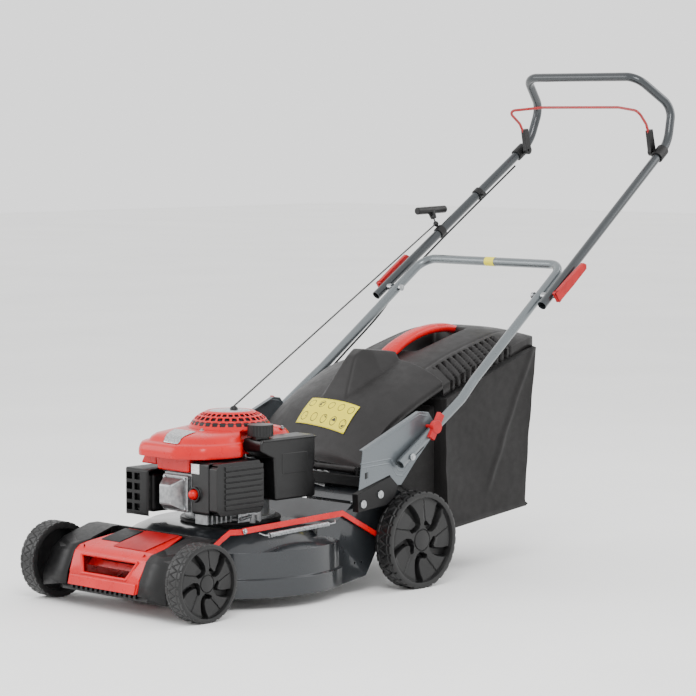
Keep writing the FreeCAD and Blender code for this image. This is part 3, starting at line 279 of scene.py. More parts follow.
# Mowing deck. Pressed 2.2 mm sheet steel, dipped in a dark grey metallic enamel; the round bowl and
# the rear chute are one stamping, with a rolled rim and a bead round the skirt.
deck_enamel = surfaced(
    "anthracite metallic enamel", ("#202326", "#2a2d31", 0.0009, 2.0), (0.26, 0.36, 0.05),
    (0.004, 0.00008), Metallic=0.6, Coat_Weight=0.6, Coat_Roughness=0.07)


def finished(node, name, body, material, edge=0.0, segments=2, flat=0.6, crease=32.0):
    """A CAD node's surface made ready to be seen: its corners are merged, the facets that lie in
    one plane become one face, the edges sharper than the crease angle are rounded over, and the
    rest is shaded smooth."""
    shape = bmesh.new()
    shape.from_mesh(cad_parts[node].data)
    bmesh.ops.remove_doubles(shape, verts=shape.verts, dist=2e-5)
    bmesh.ops.dissolve_limit(shape, angle_limit=math.radians(flat), verts=shape.verts, edges=shape.edges)
    bmesh.ops.recalc_face_normals(shape, faces=shape.faces)
    mesh = bpy.data.meshes.new(name)
    shape.to_mesh(mesh)
    shape.free()
    if "custom_normal" in mesh.attributes:
        mesh.attributes.remove(mesh.attributes["custom_normal"])
    mesh.shade_smooth()
    mesh.set_sharp_from_angle(angle=math.radians(crease))
    mesh.materials.append(material)
    made = bpy.data.objects.new(name, mesh)
    bpy.context.scene.collection.objects.link(made)
    if edge:
        bevel = made.modifiers.new("rounded_edges", "BEVEL")
        bevel.width = edge
        bevel.segments = segments
        bevel.limit_method = "ANGLE"
        bevel.angle_limit = math.radians(crease)
        bevel.use_clamp_overlap = False
        bevel.harden_normals = True
    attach(made, body)
    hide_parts(node)
    return made


deck = finished("deck_shell", "mowing_deck", "deck", deck_enamel, 0.0005)

# Wheels. One-piece dark grey polypropylene mouldings with a zigzag tread, a flush hub disc and five
# hooked slots between the vanes; each is pushed on its stub axle.
wheel_plastic = surfaced(
    "dark grey wheel polypropylene", ("#0f0f10", "#161616", 0.02), (0.36, 0.5, 0.02), (0.0015, 0.00012),
    Specular_IOR_Level=0.4)
WHEEL_STEPS = 360
ZIGZAGS = 30
INNER_SIDE = ((0.0, 0.16), (0.13, 0.16), (0.15, 0.19), (0.17, 0.42), (0.79, 0.42), (0.82, 0.38),
              (0.83, 0.03), (0.85, 0.0),
              (0.93, 0.0), (0.975, 0.015))
OUTER_EDGE = ((0.975, 0.985), (0.955, 1.0), (0.90, 1.0), (0.882, 0.985), (0.872, 0.92))
HUB_DISC = ((0.235, 0.90), (0.225, 0.86), (0.215, 0.86), (0.205, 0.915), (0.19, 0.925), (0.0, 0.925))
SLOT_LINE = ((0.84, 15), (0.70, 10), (0.52, 4), (0.38, 0), (0.315, 9), (0.31, 22), (0.36, 37))
VEIN_LINE = ((0.36, 37), (0.50, 44), (0.66, 49), (0.82, 51))


def smooth_ramp(value, low, high):
    """0 below low, 1 above high, with the cubic ease between."""
    t = np.clip((value - low) / (high - low), 0, 1)
    return t * t * (3 - 2 * t)


def grid_faces(rows, columns, close_columns):
    """Quads between neighbouring rows and columns of a grid counted row by row."""
    r, c = np.meshgrid(
        np.arange(rows - 1), np.arange(columns if close_columns else columns - 1), indexing="ij")
    d = (c + 1) % columns
    return np.stack(
        [r * columns + c, r * columns + d, (r + 1) * columns + d, (r + 1) * columns + c], -1).reshape(-1, 4)


def made_piece(
    name, points, faces, material, body, slot, nodes=(), crease=40.0, thick=0.0, edge=0.0, rounds=0,
    solid=True):
    """New object from points in metres and faces: doubles merged, normals outward, then the
    thickness, rounded edges and subdivision that are asked for as modifiers."""
    shape = bmesh.new()
    mesh = bpy.data.meshes.new(name)
    mesh.from_pydata(
        np.asarray(points, dtype=float).reshape(-1, 3).tolist(), [], [list(map(int, f)) for f in faces])
    shape.from_mesh(mesh)
    bmesh.ops.remove_doubles(shape, verts=shape.verts, dist=1e-6)
    bmesh.ops.dissolve_degenerate(shape, edges=shape.edges, dist=1e-7)
    if solid:
        bmesh.ops.recalc_face_normals(shape, faces=shape.faces)
    shape.to_mesh(mesh)
    shape.free()
    mesh.shade_smooth()
    mesh.set_sharp_from_angle(angle=math.radians(crease))
    mesh.materials.append(material)
    made = bpy.data.objects.new(name, mesh)
    bpy.context.scene.collection.objects.link(made)
    if thick:
        skin = made.modifiers.new("thickness", "SOLIDIFY")
        skin.thickness = thick
        skin.offset = -1
    if edge:
        bevel = made.modifiers.new("rounded_edges", "BEVEL")
        bevel.width = edge
        bevel.segments = 3
        bevel.limit_method = "ANGLE"
        bevel.angle_limit = math.radians(crease)
        bevel.harden_normals = True
    if rounds:
        soft = made.modifiers.new("subdivision", "SUBSURF")
        soft.levels = soft.render_levels = rounds
    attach(made, body)
    if nodes:
        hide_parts(*nodes)
    return made


def near_line(x, y, line, widths):
    """How far inside a band a point lies: 1 on a polar polyline (radius, degrees), falling to 0 at
    the band's half width, which changes evenly from the first to the second of widths."""
    radii = np.interp(np.linspace(0, len(line) - 1, 60), np.arange(len(line)), [p[0] for p in line])
    turns = np.radians(
        np.interp(np.linspace(0, len(line) - 1, 60), np.arange(len(line)), [p[1] for p in line]))
    reach = np.linspace(widths[0], widths[1], 60)
    gap = np.hypot(x[..., None] - radii * np.cos(turns), y[..., None] - radii * np.sin(turns)) / reach
    return 1 - smooth_ramp(gap.min(axis=-1), 0.72, 1.1)


def wheel_points(radius, width):
    """Grid of a wheel, [profile rows, turns, (axial, along, up)] from its inner face: one closed
    profile turned round the axle. The tread is cut back along a zigzag line and at the lugs, and the
    outer face is sunk along the slots and tilted between them."""
    tread = [(1.0, s) for s in np.linspace(0.035, 0.965, 35)]
    face = [(r, 0.90) for r in np.linspace(0.865, 0.24, 46)]
    profile = np.array([*INNER_SIDE, *tread, *OUTER_EDGE, *face, *HUB_DISC])
    turn = np.linspace(0, 2 * np.pi, WHEEL_STEPS, endpoint=False)
    r, a = np.meshgrid(profile[:, 0], turn, indexing="ij")
    s = np.repeat(profile[:, 1:2], WHEEL_STEPS, axis=1)
    first = len(INNER_SIDE)
    rows = slice(first, first + len(tread))
    u = (s[rows] - 0.5) * 2
    wave = np.abs(((a[rows] * ZIGZAGS / (2 * np.pi)) % 1) * 2 - 1) * 2 - 1
    line = 1 - smooth_ramp(np.abs(u - 0.40 * wave), 0.07, 0.17)
    lug = (1 - smooth_ramp(np.abs(wave - 0.86), 0.16, 0.34)) * smooth_ramp(np.abs(u), 0.60, 0.70)
    ring = 1 - smooth_ramp(np.abs(np.abs(u) - 0.58), 0.02, 0.06)
    r[rows] -= np.maximum.reduce([0.020 * line, 0.026 * lug, 0.012 * ring])
    rows = slice(first + len(tread) + len(OUTER_EDGE), len(profile) - len(HUB_DISC))
    sector = 2 * np.pi / 5
    local = (a[rows] - np.radians(27)) % sector - np.radians(8)
    x = r[rows] * np.cos(local)
    y = r[rows] * np.sin(local)
    degrees = np.degrees(local)
    slot = near_line(x, y, SLOT_LINE, (0.095, 0.045))
    vein = near_line(x, y, VEIN_LINE, (0.016, 0.012))
    vane = smooth_ramp(degrees, 2, 16) * (1 - smooth_ramp(degrees, 46, 53)) * smooth_ramp(r[rows], 0.36, 0.5) * (
        1 - smooth_ramp(r[rows], 0.78, 0.84))
    s[rows] -= 0.36 * slot + 0.05 * vein * (1 - slot) + 0.10 * vane * (1 - degrees / 60) * (1 - slot)
    s[rows] -= 0.04 * smooth_ramp(r[rows], 0.79, 0.85) * (1 - slot)
    return np.stack([s * width, r * radius * np.cos(a), r * radius * np.sin(a)], axis=-1)


for corner, body_side in (
    ("front_wheel_left", 1), ("front_wheel_right", -1), ("rear_wheel_left", 1), ("rear_wheel_right", -1)):
    low, high = (np.array(v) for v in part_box(corner))
    radius = (high[2] - low[2]) / 2
    width = high[0] - low[0]
    points = wheel_points(radius, width)
    points[..., 0] = low[0] + points[..., 0] if body_side > 0 else high[0] - points[..., 0]
    points[..., 1] += (low[1] + high[1]) / 2
    points[..., 2] += (low[2] + high[2]) / 2
    made_piece(
        corner + "_moulding", points, grid_faces(points.shape[0], WHEEL_STEPS, True), wheel_plastic,
        corner, "wheel_plastic", (corner,), 34.0)

# Front chassis and the axle rods. The chassis is folded black-coated steel behind the cover; the
# axles are cranked black rods that swing the wheels up and down together.
black_steel = surfaced(
    "black powder-coated steel", ("#060607", "#0b0b0c", 0.02), (0.38, 0.5, 0.01), (0.0012, 0.00008),
    Specular_IOR_Level=0.3)
finished("front_chassis", "front_chassis_plate", "deck", black_steel, 0.0006)
finished("front_axle", "front_axle_rod", "front_axle", black_steel, 0.0004)
finished("rear_axle", "rear_axle_rod", "rear_axle", black_steel, 0.0004)

# Front cover. A bright red moulding in glossy ABS, clipped over the chassis, with a long slot that
# serves as a carrying handle.
red_plastic = surfaced(
    "red moulded ABS", ("#bd0007", "#c9030b", 0.06), (0.24, 0.34, 0.03), (0.003, 0.00005),
    Specular_IOR_Level=0.3, Coat_Weight=0.12, Coat_Roughness=0.1)
finished("front_cover", "front_cover_moulding", "deck", red_plastic, 0.0015, 3)
# Painted shade: a darker copy of the red ABS, for the top panel of the same red cover.
painted_shade_red = surfaced(
    "red moulded ABS darkened as painted shade", ("#8e0007", "#99020a", 0.05), (0.3, 0.4, 0.02), (0.002, 0.00006),
    Specular_IOR_Level=0.3)
SLOT_FRAME = ((-94, -49.5, 118), (94, -49.5, 118), (74, -65, 79), (-74, -65, 79))


def prism(outline, start, end, plane="x"):
    """Closed solid from a flat outline in millimetres pushed from start to end: along X for an
    outline in (Y, Z), along Y for one in (X, Z), along Z for one in (X, Y)."""
    flat = np.array(outline, dtype=float)
    count = len(flat)
    rows = []
    for depth in (start, end):
        full = np.full(count, float(depth))
        order = {
            "x": (full, flat[:, 0], flat[:, 1]), "y": (flat[:, 0], full, flat[:, 1]),
            "z": (flat[:, 0], flat[:, 1], full)}[plane]
        rows.append(np.stack(order, axis=-1))
    points = np.concatenate(rows) / 1000
    points[:, 1] += AXLE_Y
    faces = [list(range(count)), list(range(count, 2 * count))]
    faces += [[i, (i + 1) % count, count + (i + 1) % count, count + i] for i in range(count)]
    return points, faces


COVER_SLOT_TRAY_OUTLINE = (
    (-62, 78), (-34, 80), (-20, 96), (-14, 118), (-20, 120), (-26, 100), (-37, 84), (-62, 82))
made_piece(
    "cover_slot_tray", *prism(COVER_SLOT_TRAY_OUTLINE, -84, 84), red_plastic, "deck", "red_plastic",
    edge=0.0015)
# Painted shade: a black block fills the carrying slot, in place of the shade seen through the opening.
COVER_SLOT_SLIT_OUTLINE = ((-24, 104), (-16, 114), (-20, 117), (-28, 107))
made_piece("cover_slot_painted_shade", *prism(COVER_SLOT_SLIT_OUTLINE, -50, 72), black_steel, "deck", "dark_plastic")
COVER_LOWER_LIP_OUTLINE = ((-76.5, 52), (-71.5, 73), (-68, 75), (-66, 72), (-70, 52))
made_piece(
    "cover_lower_lip", *prism(COVER_LOWER_LIP_OUTLINE, -110, 110), red_plastic, "deck", "red_plastic",
    edge=0.0012)
# The top panel is the cover's own red plastic, laid in the darker copy as painted shade.
COVER_TOP_PANEL_OUTLINE = ((-18, 137.6), (80, 160.2), (80, 162), (-16, 140))
made_piece(
    "cover_top_panel", *prism(COVER_TOP_PANEL_OUTLINE, -24, 82), painted_shade_red, "deck", "red_plastic",
    edge=0.0008)
# Painted shade: a black block laid in the cover's top recess stands in for the shade there.
COVER_TOP_RECESS_OUTLINE = ((6, 142.4), (76, 158.6), (76, 161), (8, 145))
made_piece(
    "cover_top_recess_painted_shade", *prism(COVER_TOP_RECESS_OUTLINE, -92, -30), black_steel, "deck", "dark_plastic",
    edge=0.0008)
COVER_TOOTH_OUTLINE = ((-68, 53), (-70, 43), (-62, 43), (-58, 53))
for number, x in enumerate(range(-104, 105, 16)):
    made_piece(
        f"cover_tooth_{number:02d}", *prism(COVER_TOOTH_OUTLINE, x - 4, x + 4), black_steel, "deck",
        "dark_plastic", edge=0.001)
CHEEK_INNER = ((-71, 50), (-65, 80), (-46, 121), (-33, 132), (30, 146))
CHEEK_OUTER = ((-64, 38), (-66, 62), (-38, 118), (-8, 138), (34, 150))
for side, name in ((1, "left"), (-1, "right")):
    rows = []
    for x, line in ((119, CHEEK_INNER), (150, CHEEK_INNER), (203, CHEEK_OUTER)):
        drop = 3 if x == 150 else 0
        rows.append([(side * x, y + drop, z - drop) for y, z in line])
    cheek = np.array(rows) / 1000
    cheek[..., 1] += AXLE_Y
    made_piece(
        "cover_cheek_" + name, cheek, grid_faces(3, len(CHEEK_INNER), False), black_steel, "deck",
        "dark_plastic", crease=20.0, thick=0.003 * side, solid=False)

# Handle brackets. Silver-grey pressed steel plates bolted to each side of the deck, over black
# lower plates, with zinc-plated hexagon bolts.
bracket_steel = surfaced(
    "silver-grey enamelled steel", ("#5a6064", "#6a7074", 0.0012, 2.0), (0.3, 0.4, 0.03), (0.003, 0.00006),
    Metallic=0.6, Coat_Weight=0.3)
zinc = surfaced(
    "zinc-plated steel", ("#8d9092", "#b4b6b8", 0.006), (0.24, 0.36, 0.004), (0.002, 0.00004), Metallic=1.0)
def turned_piece(name, profile, centre, material, body, slot, nodes=(), steps=64, crease=35.0, axis="z"):
    """Surface of revolution: a profile of (radius, height) pairs in millimetres about an axis
    through a station point, closed where its radius is nought."""
    angle = np.linspace(0, 2 * np.pi, steps, endpoint=False)
    r, a = np.meshgrid([p[0] / 1000 for p in profile], angle, indexing="ij")
    h = np.repeat(np.array([[p[1] / 1000] for p in profile]), steps, axis=1)
    parts = {
        "z": (r * np.cos(a), r * np.sin(a), h), "x": (h, r * np.cos(a), r * np.sin(a)),
        "y": (r * np.cos(a), h, r * np.sin(a))}[axis]
    points = np.stack(parts, axis=-1) + np.array(at(*(v / 1000 for v in centre)))
    return made_piece(
        name, points, grid_faces(len(profile), steps, True), material, body, slot, nodes, crease)


BOLT_PROFILE = ((0, -2), (6, -2), (6, 0.6), (5.2, 1.2), (3.4, 1.2), (3.4, 4), (2.8, 4.6), (0, 4.6))
BRACKET_OUTLINE = (
    (474, 238), (487, 328), (672, 402), (702, 398), (734, 358), (660, 290), (611, 238), (592, 240),
    (574, 264))
LOWER_PLATE_OUTLINE = ((468, 230), (574, 262), (600, 238), (588, 214), (562, 197), (470, 189))
BRACKET_BEADS = (((481, 297), (578, 301), (602, 272), (618, 270), (664, 308)),
                 ((487, 288), (574, 291), (596, 262), (618, 259), (640, 276)),
                 ((496, 326), (670, 394), (698, 390)), ((500, 252), (500, 286)))


def bead(name, points, radius, material, body, shown_side=1):
    """Raised bead: a round bar half sunk in a plate along straight runs, points in millimetres."""
    line = line_object(
        name, [at(shown_side * x / 1000, y / 1000, z / 1000) for x, y, z in points], radius, material,
        order=2)
    made = cord_mesh(line)
    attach(made, body)
    return made


BRACKET_TOP_RIM_OUTLINE = ((487, 328), (672, 402), (672, 399), (487, 325))
# Painted shade: the slot and the square hole are not cut; thin black patches on the plate's face stand in for
# the shade seen through them.
BRACKET_SLOT_OUTLINE = ((660, 302), (686, 318), (682, 326), (656, 310))
BRACKET_SQUARE_HOLE_OUTLINE = ((493, 262), (503, 264), (503, 278), (493, 276))
for side, name in ((1, "left"), (-1, "right")):
    made_piece(
        "handle_bracket_plate_" + name, *prism(BRACKET_OUTLINE, side * 243, side * 246), bracket_steel,
        "deck", "bracket_steel", ("handle_bracket_" + name,), edge=0.0012)
    made_piece(
        "bracket_top_rim_" + name, *prism(BRACKET_TOP_RIM_OUTLINE, side * 234, side * 245), bracket_steel,
        "deck", "bracket_steel", edge=0.0008)
    made_piece(
        "bracket_lower_plate_" + name, *prism(LOWER_PLATE_OUTLINE, side * 229.5, side * 248.5),
        black_steel, "deck", "black_steel", ("bracket_plates",) if side > 0 else (), edge=0.0015)
    # Black patches for the slot and the square hole: painted shade.
    made_piece(
        "bracket_slot_" + name, *prism(BRACKET_SLOT_OUTLINE, side * 245.6, side * 246.4), black_steel,
        "deck", "black_steel")
    made_piece(
        "bracket_square_hole_" + name, *prism(BRACKET_SQUARE_HOLE_OUTLINE, side * 245.6, side * 246.4),
        black_steel, "deck", "black_steel")
    for number, points in enumerate(BRACKET_BEADS):
        bead(
            f"bracket_bead_{name}_{number}", [(244.4, y, z) for y, z in points], 0.0022, bracket_steel,
            "deck", side)
finished("frame_bolts", "frame_bolt_heads", "deck", zinc, 0.0004)

for number in range(4):
    bead(
        f"cover_slot_frame_{number}", (SLOT_FRAME[number], SLOT_FRAME[(number + 1) % 4]), 0.0032,
        red_plastic, "deck")

# Hinge rail and flap rod. A black rail across the top of the chute that carries the rear flap.
finished("hinge_rail", "flap_hinge_rail", "deck", black_steel, 0.0005)
finished("flap_rod", "flap_hinge_rod", "deck", zinc)

# Height link. A flat bar, red enamelled, that joins the two axles on the left side, so that one
# lever sets all four wheels.
red_enamel = surfaced(
    "red enamelled steel", ("#b60008", "#c4040c", 0.03), (0.24, 0.36, 0.02), (0.003, 0.00005),
    Specular_IOR_Level=0.3, Coat_Weight=0.15, Coat_Roughness=0.08)
finished("height_link", "height_link_bar", "height_link", red_enamel, 0.0006)


def coil(start, end, radius, wire, turns, steps=14, around=6):
    """Grid of a helical spring between two points in millimetres: a ring of the wire is carried
    round the line, and its ends close."""
    start, end = np.array(start, dtype=float), np.array(end, dtype=float)
    axis = (end - start) / np.linalg.norm(end - start)
    first = np.cross(axis, (1.0, 0.0, 0.0))
    first /= np.linalg.norm(first)
    second = np.cross(axis, first)
    share = np.linspace(0, 1, turns * steps)[:, None]
    angle = share * turns * 2 * np.pi
    out = np.cos(angle) * first + np.sin(angle) * second
    path = start + (end - start) * share + out * radius
    ring = np.linspace(0, 2 * np.pi, around, endpoint=False)
    grid = path[:, None] + wire * (
        np.cos(ring)[None, :, None] * out[:, None] + np.sin(ring)[None, :, None] * axis)
    grid = np.concatenate(
        [np.repeat(path[:1, None], around, axis=1), grid,
        np.repeat(path[-1:, None], around, axis=1)]) / 1000
    grid[..., 1] += AXLE_Y
    return grid


spring_low, spring_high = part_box("height_spring")
spring_x = (spring_low[0] + spring_high[0]) * 500
spring = coil((spring_x, 205, 165), (spring_x, 385, 171), 4.8, 1.15, 62)
made_piece(
    "height_spring_coil", spring, grid_faces(spring.shape[0], spring.shape[1], True), zinc, "deck",
    "steel", ("height_spring",), 80.0)
bead(
    "height_spring_hook", ((spring_x, 384, 171), (spring_x, 396, 171), (spring_x, 408, 172),
    (spring_x - 8, 414, 178)), 0.0015, zinc, "deck")
bead(
    "height_spring_tail", ((spring_x, 206, 165), (spring_x, 192, 166), (spring_x - 4, 178, 172)), 0.0015,
    zinc, "deck")
turned_piece(
    "height_link_bolt", BOLT_PROFILE, (232, 137, 180), zinc, "height_link", "steel", steps=24, axis="x")

# Lower and upper handles. Bent 22 mm steel tube, enamelled: the lower one silver grey, the upper
# one a shade darker, folded together at the cam levers.
tube_enamel = surfaced(
    "grey metallic tube enamel", ("#2b2f32", "#363a3d", 0.0009, 2.0), (0.24, 0.34, 0.05), (0.004, 0.00005),
    Metallic=0.55, Coat_Weight=0.5, Coat_Roughness=0.1)
silver_enamel = surfaced(
    "silver metallic tube enamel", ("#5f6568", "#6d7376", 0.0009, 2.0), (0.24, 0.34, 0.05),
    (0.004, 0.00005), Metallic=0.6, Coat_Weight=0.5, Coat_Roughness=0.1)
finished("lower_handle", "lower_handle_tube", "lower_handle", silver_enamel)
finished("upper_handle", "upper_handle_tube", "upper_handle", tube_enamel)

# Cam levers, tube clamps and their bolts. Crimson nylon levers that lock the fold of the upper
# handle, and clamps at the foot of the lower one.
crimson = surfaced(
    "crimson glass-filled nylon", ("#9c050d", "#ac0a12", 0.02), (0.3, 0.42, 0.01), (0.0015, 0.0001),
    Specular_IOR_Level=0.35)
for side in ("left", "right"):
    finished(
        "cam_lever_" + side, "cam_lever_" + side + "_nylon", "cam_lever_" + side, crimson,
        0.0012, 3)
    finished(
        "tube_clamp_" + side, "tube_clamp_" + side + "_nylon", "tube_clamp_" + side,
        crimson, 0.0012, 3)
finished("cam_bolts", "cam_bolt_heads", "upper_handle", zinc, 0.0003)

# Bail, its holders and brackets. A dark red coated wire that stops the engine when it is let go,
# pivoted in black nylon holders on collars round the upper handle.
red_wire = surfaced(
    "red coated wire", ("#8c060c", "#a00a11", 0.01), (0.28, 0.4, 0.01), (0.002, 0.00005), Coat_Weight=0.3)
black_nylon = surfaced(
    "black moulded nylon", ("#070708", "#0c0c0d", 0.01), (0.36, 0.5, 0.01), (0.0012, 0.0001),
    Specular_IOR_Level=0.35)
finished("bail_bar", "bail_wire", "bail", red_wire)
finished("bail_holders", "bail_holder_nylon", "bail", black_nylon, 0.0008)
finished("bail_brackets", "bail_bracket_nylon", "upper_handle", black_nylon, 0.0008)
finished("rope_guide", "rope_guide_nylon", "upper_handle", black_nylon, 0.0006)
finished("cable_clip", "cable_clip_nylon", "upper_handle", black_nylon, 0.0004)
finished("starter_grip", "starter_grip_nylon", "starter_grip", black_nylon, 0.002, 3)

# Engine castings. A sand-blasted aluminium crankcase and finned barrel bolted on the deck, with
# the valve cover in front and a muffler behind its punched guard on the right.
engine_alloy = surfaced(
    "cast aluminium", ("#8b8d8e", "#a5a7a8", 0.008), (0.38, 0.52, 0.004), (0.0014, 0.0002), Metallic=0.9)
for node in ("engine_block", "carburettor"):
    finished(node, node + "_casting", "deck", engine_alloy, 0.0006)
VALVE_COVER_FLANGE_OUTLINE = ((-28, 204), (52, 204), (52, 284), (-28, 284))
made_piece(
    "valve_cover_flange", *prism(VALVE_COVER_FLANGE_OUTLINE, 132, 142, "y"), engine_alloy, "deck",
    "engine_alloy", ("valve_cover",), edge=0.003)
VALVE_COVER_STEPS = ((133, 0), (124, 1), (103, 13), (101, 15), (101, 60))
VALVE_COVER_X, VALVE_COVER_Z = 12, 243
frustum = []
for y, inset in VALVE_COVER_STEPS:
    half_x, half_z = max(32 - inset, 0), max(35 - inset, 2)
    left, right = VALVE_COVER_X - half_x, VALVE_COVER_X + half_x
    low, high = VALVE_COVER_Z - half_z, VALVE_COVER_Z + half_z
    frustum.append([(left, y, low), (right, y, low), (right, y, high), (left, y, high)])
frustum = np.array(frustum, dtype=float) / 1000
frustum[..., 1] += AXLE_Y
made_piece(
    "valve_cover_box", frustum, grid_faces(5, 4, True), engine_alloy, "deck", "engine_alloy", crease=25.0,
    edge=0.003)
VALVE_COVER_BOLT_PROFILE = ((0, 2), (4.5, 2), (4.5, -3), (3, -4), (0, -4))
for number, (x, z) in enumerate(((-21, 211), (45, 211), (-21, 277), (45, 277))):
    turned_piece(
        f"valve_cover_bolt_{number}", VALVE_COVER_BOLT_PROFILE, (x, 132, z), zinc, "deck", "steel",
        steps=20, axis="y")
ENGINE_BASE_RING_PROFILE = ((90, 167), (112, 167), (114, 169), (114, 174), (112, 176.5), (90, 176.5))
turned_piece("engine_base_ring", ENGINE_BASE_RING_PROFILE, (0, 310, 0), black_steel, "deck", "black_steel")
THROTTLE_PLATE_OUTLINE = ((232, 176), (268, 176), (268, 214), (262, 220), (240, 220), (232, 210))
made_piece("throttle_plate", *prism(THROTTLE_PLATE_OUTLINE, 108, 110), zinc, "deck", "steel", edge=0.0006)
THROTTLE_ARM_OUTLINE = ((240, 196), (292, 188), (292, 193), (240, 202))
made_piece("throttle_arm", *prism(THROTTLE_ARM_OUTLINE, 112, 114), zinc, "deck", "steel", edge=0.0006)
THROTTLE_BOSS_PROFILE = ((0, 172), (9, 172), (9, 196), (6, 200), (0, 200))
for number, y in enumerate((278, 296)):
    turned_piece(
        f"throttle_boss_{number}", THROTTLE_BOSS_PROFILE, (104, y, 0), engine_alloy, "deck",
        "engine_alloy", steps=28)
governor = coil((112, 236, 184), (112, 268, 188), 3.0, 0.7, 14)
made_piece(
    "governor_spring", governor, grid_faces(governor.shape[0], governor.shape[1], True), zinc, "deck",
    "steel", crease=80.0)
for number in range(6):
    made_piece(
        f"crankcase_fin_{number}", *prism(((150 + 14 * number, 178), (155 + 14 * number, 178),
        (155 + 14 * number, 200), (150 + 14 * number, 200)), 58, 96), engine_alloy, "deck", "engine_alloy",
        edge=0.0008)
for node in ("muffler", "muffler_guard"):
    finished(node, node + "_steel", "deck", black_steel, 0.0006)

# Engine hood. A glossy red moulding over the flywheel: a skirt, a ledge and a second tier that
# rises to the starter dome, with an air duct below its front; three small bolts hold it.
ENGINE = (0.0, 0.310)
HOOD_OUTLINE = ((-72, 98), (46, 98), (104, 134), (122, 190), (122, 246), (84, 262), (84, 440), (50, 466),
                (-72, 466),
                (-118, 424), (-130, 320), (-126, 200), (-106, 132))
HOOD_ROWS = ((324, 0.96, 0), (324, 0.995, 0), (327, 1.0, 0), (338, 0.998, 0), (347, 0.985, 0),
             (352, 0.965, 0), (354, 0.935, 0), (355, 0.905, 0),
             (357, 0.885, 0), (363, 0.87, 0.02), (369, 0.85, 0.1), (373, 0.82, 0.3), (376, 0.80, 0.6),
             (377.5, 0.8, 0.9), (378, 0.8, 1.0))
HOOD_STEPS = 240
DOME_FOOT = 0.097


def outline_radius(outline, centre, turns):
    """Distance from the centre to a closed outline along each direction, eased over about 7 degrees."""
    ends = np.array(outline) / 1000 - centre
    starts, stops = ends, np.roll(ends, -1, axis=0)
    ray = np.stack([np.cos(turns), np.sin(turns)], axis=-1)[:, None]
    side = stops - starts
    cross = ray[..., 0] * side[None, :, 1] - ray[..., 1] * side[None, :, 0]
    cross = np.where(np.abs(cross) < 1e-12, 1e-12, cross)
    far = (starts[None, :, 0] * side[None, :, 1] - starts[None, :, 1] * side[None, :, 0]) / cross
    along = (starts[None, :, 0] * ray[..., 1] - starts[None, :, 1] * ray[..., 0]) / cross
    hit = np.where((far > 0) & (along >= -1e-9) & (along <= 1 + 1e-9), far, np.inf).min(axis=1)
    window = np.hanning(9)[1:-1]
    padded = np.concatenate([hit[-3:], hit, hit[:3]])
    return np.convolve(padded, window / window.sum(), "valid")


turns = np.linspace(0, 2 * np.pi, HOOD_STEPS, endpoint=False)
hood_reach = outline_radius(HOOD_OUTLINE, np.array(ENGINE), turns)
hood_rows = []
for z, scale, round_part in HOOD_ROWS:
    reach = (1 - round_part) * hood_reach * scale + round_part * DOME_FOOT
    x = reach * np.cos(turns)
    y = ENGINE[1] + reach * np.sin(turns)
    x = np.where((y > 0.258) & (x > 0.087), 0.087, x)
    hood_rows.append(np.stack([x, y + AXLE_Y, np.full_like(x, z / 1000)], axis=-1))
hood = made_piece(
    "engine_hood_moulding", hood_rows, grid_faces(len(hood_rows), HOOD_STEPS, True), red_plastic, "deck",
    "red_plastic", ("engine_hood",), 50.0, thick=0.003)


HOOD_AIR_DUCT_OUTLINE = ((-46, 292), (58, 292), (60, 327), (-50, 327))
made_piece(
    "hood_air_duct", *prism(HOOD_AIR_DUCT_OUTLINE, 130, 224, "y"), red_plastic, "deck", "red_plastic",
    edge=0.005)
HOOD_SIDE_BRACKET_OUTLINE = ((-112, 300), (-60, 300), (-60, 326), (-96, 326))
made_piece(
    "hood_side_bracket", *prism(HOOD_SIDE_BRACKET_OUTLINE, 140, 200, "y"), red_plastic, "deck",
    "red_plastic", edge=0.004)

# Foil and hood bolts. Brushed silver foil with no lettering, for the badge and the dome's disc, and
# three zinc bolts round the foot of the dome.
foil = surfaced(
    "brushed silver foil", ("#8f9192", "#c9cacb", 0.004), (0.24, 0.36, 0.006), (0.001, 0.00003),
    Metallic=0.85)
for number, (x, y, z) in enumerate(((20, 206, 377), (-78, 380, 372), (70, 405, 372))):
    turned_piece(f"hood_bolt_{number}", BOLT_PROFILE, (x, y, z), zinc, "deck", "steel", steps=24)

# Recoil starter dome. A red moulded cage over the pulley, with three staggered rows of rounded
# windows; a plain silver disc closes the top and the rope leaves through an eyelet.
WINDOWS = 30
WINDOW_ROWS = 3
CELL = 6
DOME_LOW = (91.0, 383.0)
DOME_HIGH = (57.0, 411.5)


def dome_grid():
    """Cage of the dome: rings on a cone, each band of six rings and six columns a cell whose inner
    four by four faces are left out, every second band turned by half a cell."""
    steps = WINDOWS * CELL
    share = np.linspace(0, 1, WINDOW_ROWS * CELL + 1)
    bulge = 3.0 * np.sin(np.pi * share)
    radius = DOME_LOW[0] + (DOME_HIGH[0] - DOME_LOW[0]) * share + bulge
    height = DOME_LOW[1] + (DOME_HIGH[1] - DOME_LOW[1]) * share + bulge
    radius = np.concatenate([[97, 95, 93], radius, [54, 51, 48, 46]])
    height = np.concatenate([[376, 379, 381], height, [413.6, 414.4, 414.0, 412.5]])
    angle = np.linspace(0, 2 * np.pi, steps, endpoint=False)
    r, a = np.meshgrid(radius, angle, indexing="ij")
    h = np.repeat(height[:, None], steps, axis=1)
    points = np.stack(
        [r * np.cos(a), r * np.sin(a), h], axis=-1) / 1000 + np.array(at(ENGINE[0], ENGINE[1], 0))
    faces = grid_faces(len(radius), steps, True)
    row, column = np.divmod(np.arange(len(faces)), steps)
    band = (row - 3) // CELL
    inside = (row >= 3) & (row < 3 + WINDOW_ROWS * CELL)
    sub_row = (row - 3) % CELL
    sub_column = (column + (band % 2) * (CELL // 2)) % CELL
    window = inside & (sub_row >= 1) & (sub_row <= 4) & (sub_column >= 1) & (sub_column <= 4)
    return points, faces[~window]
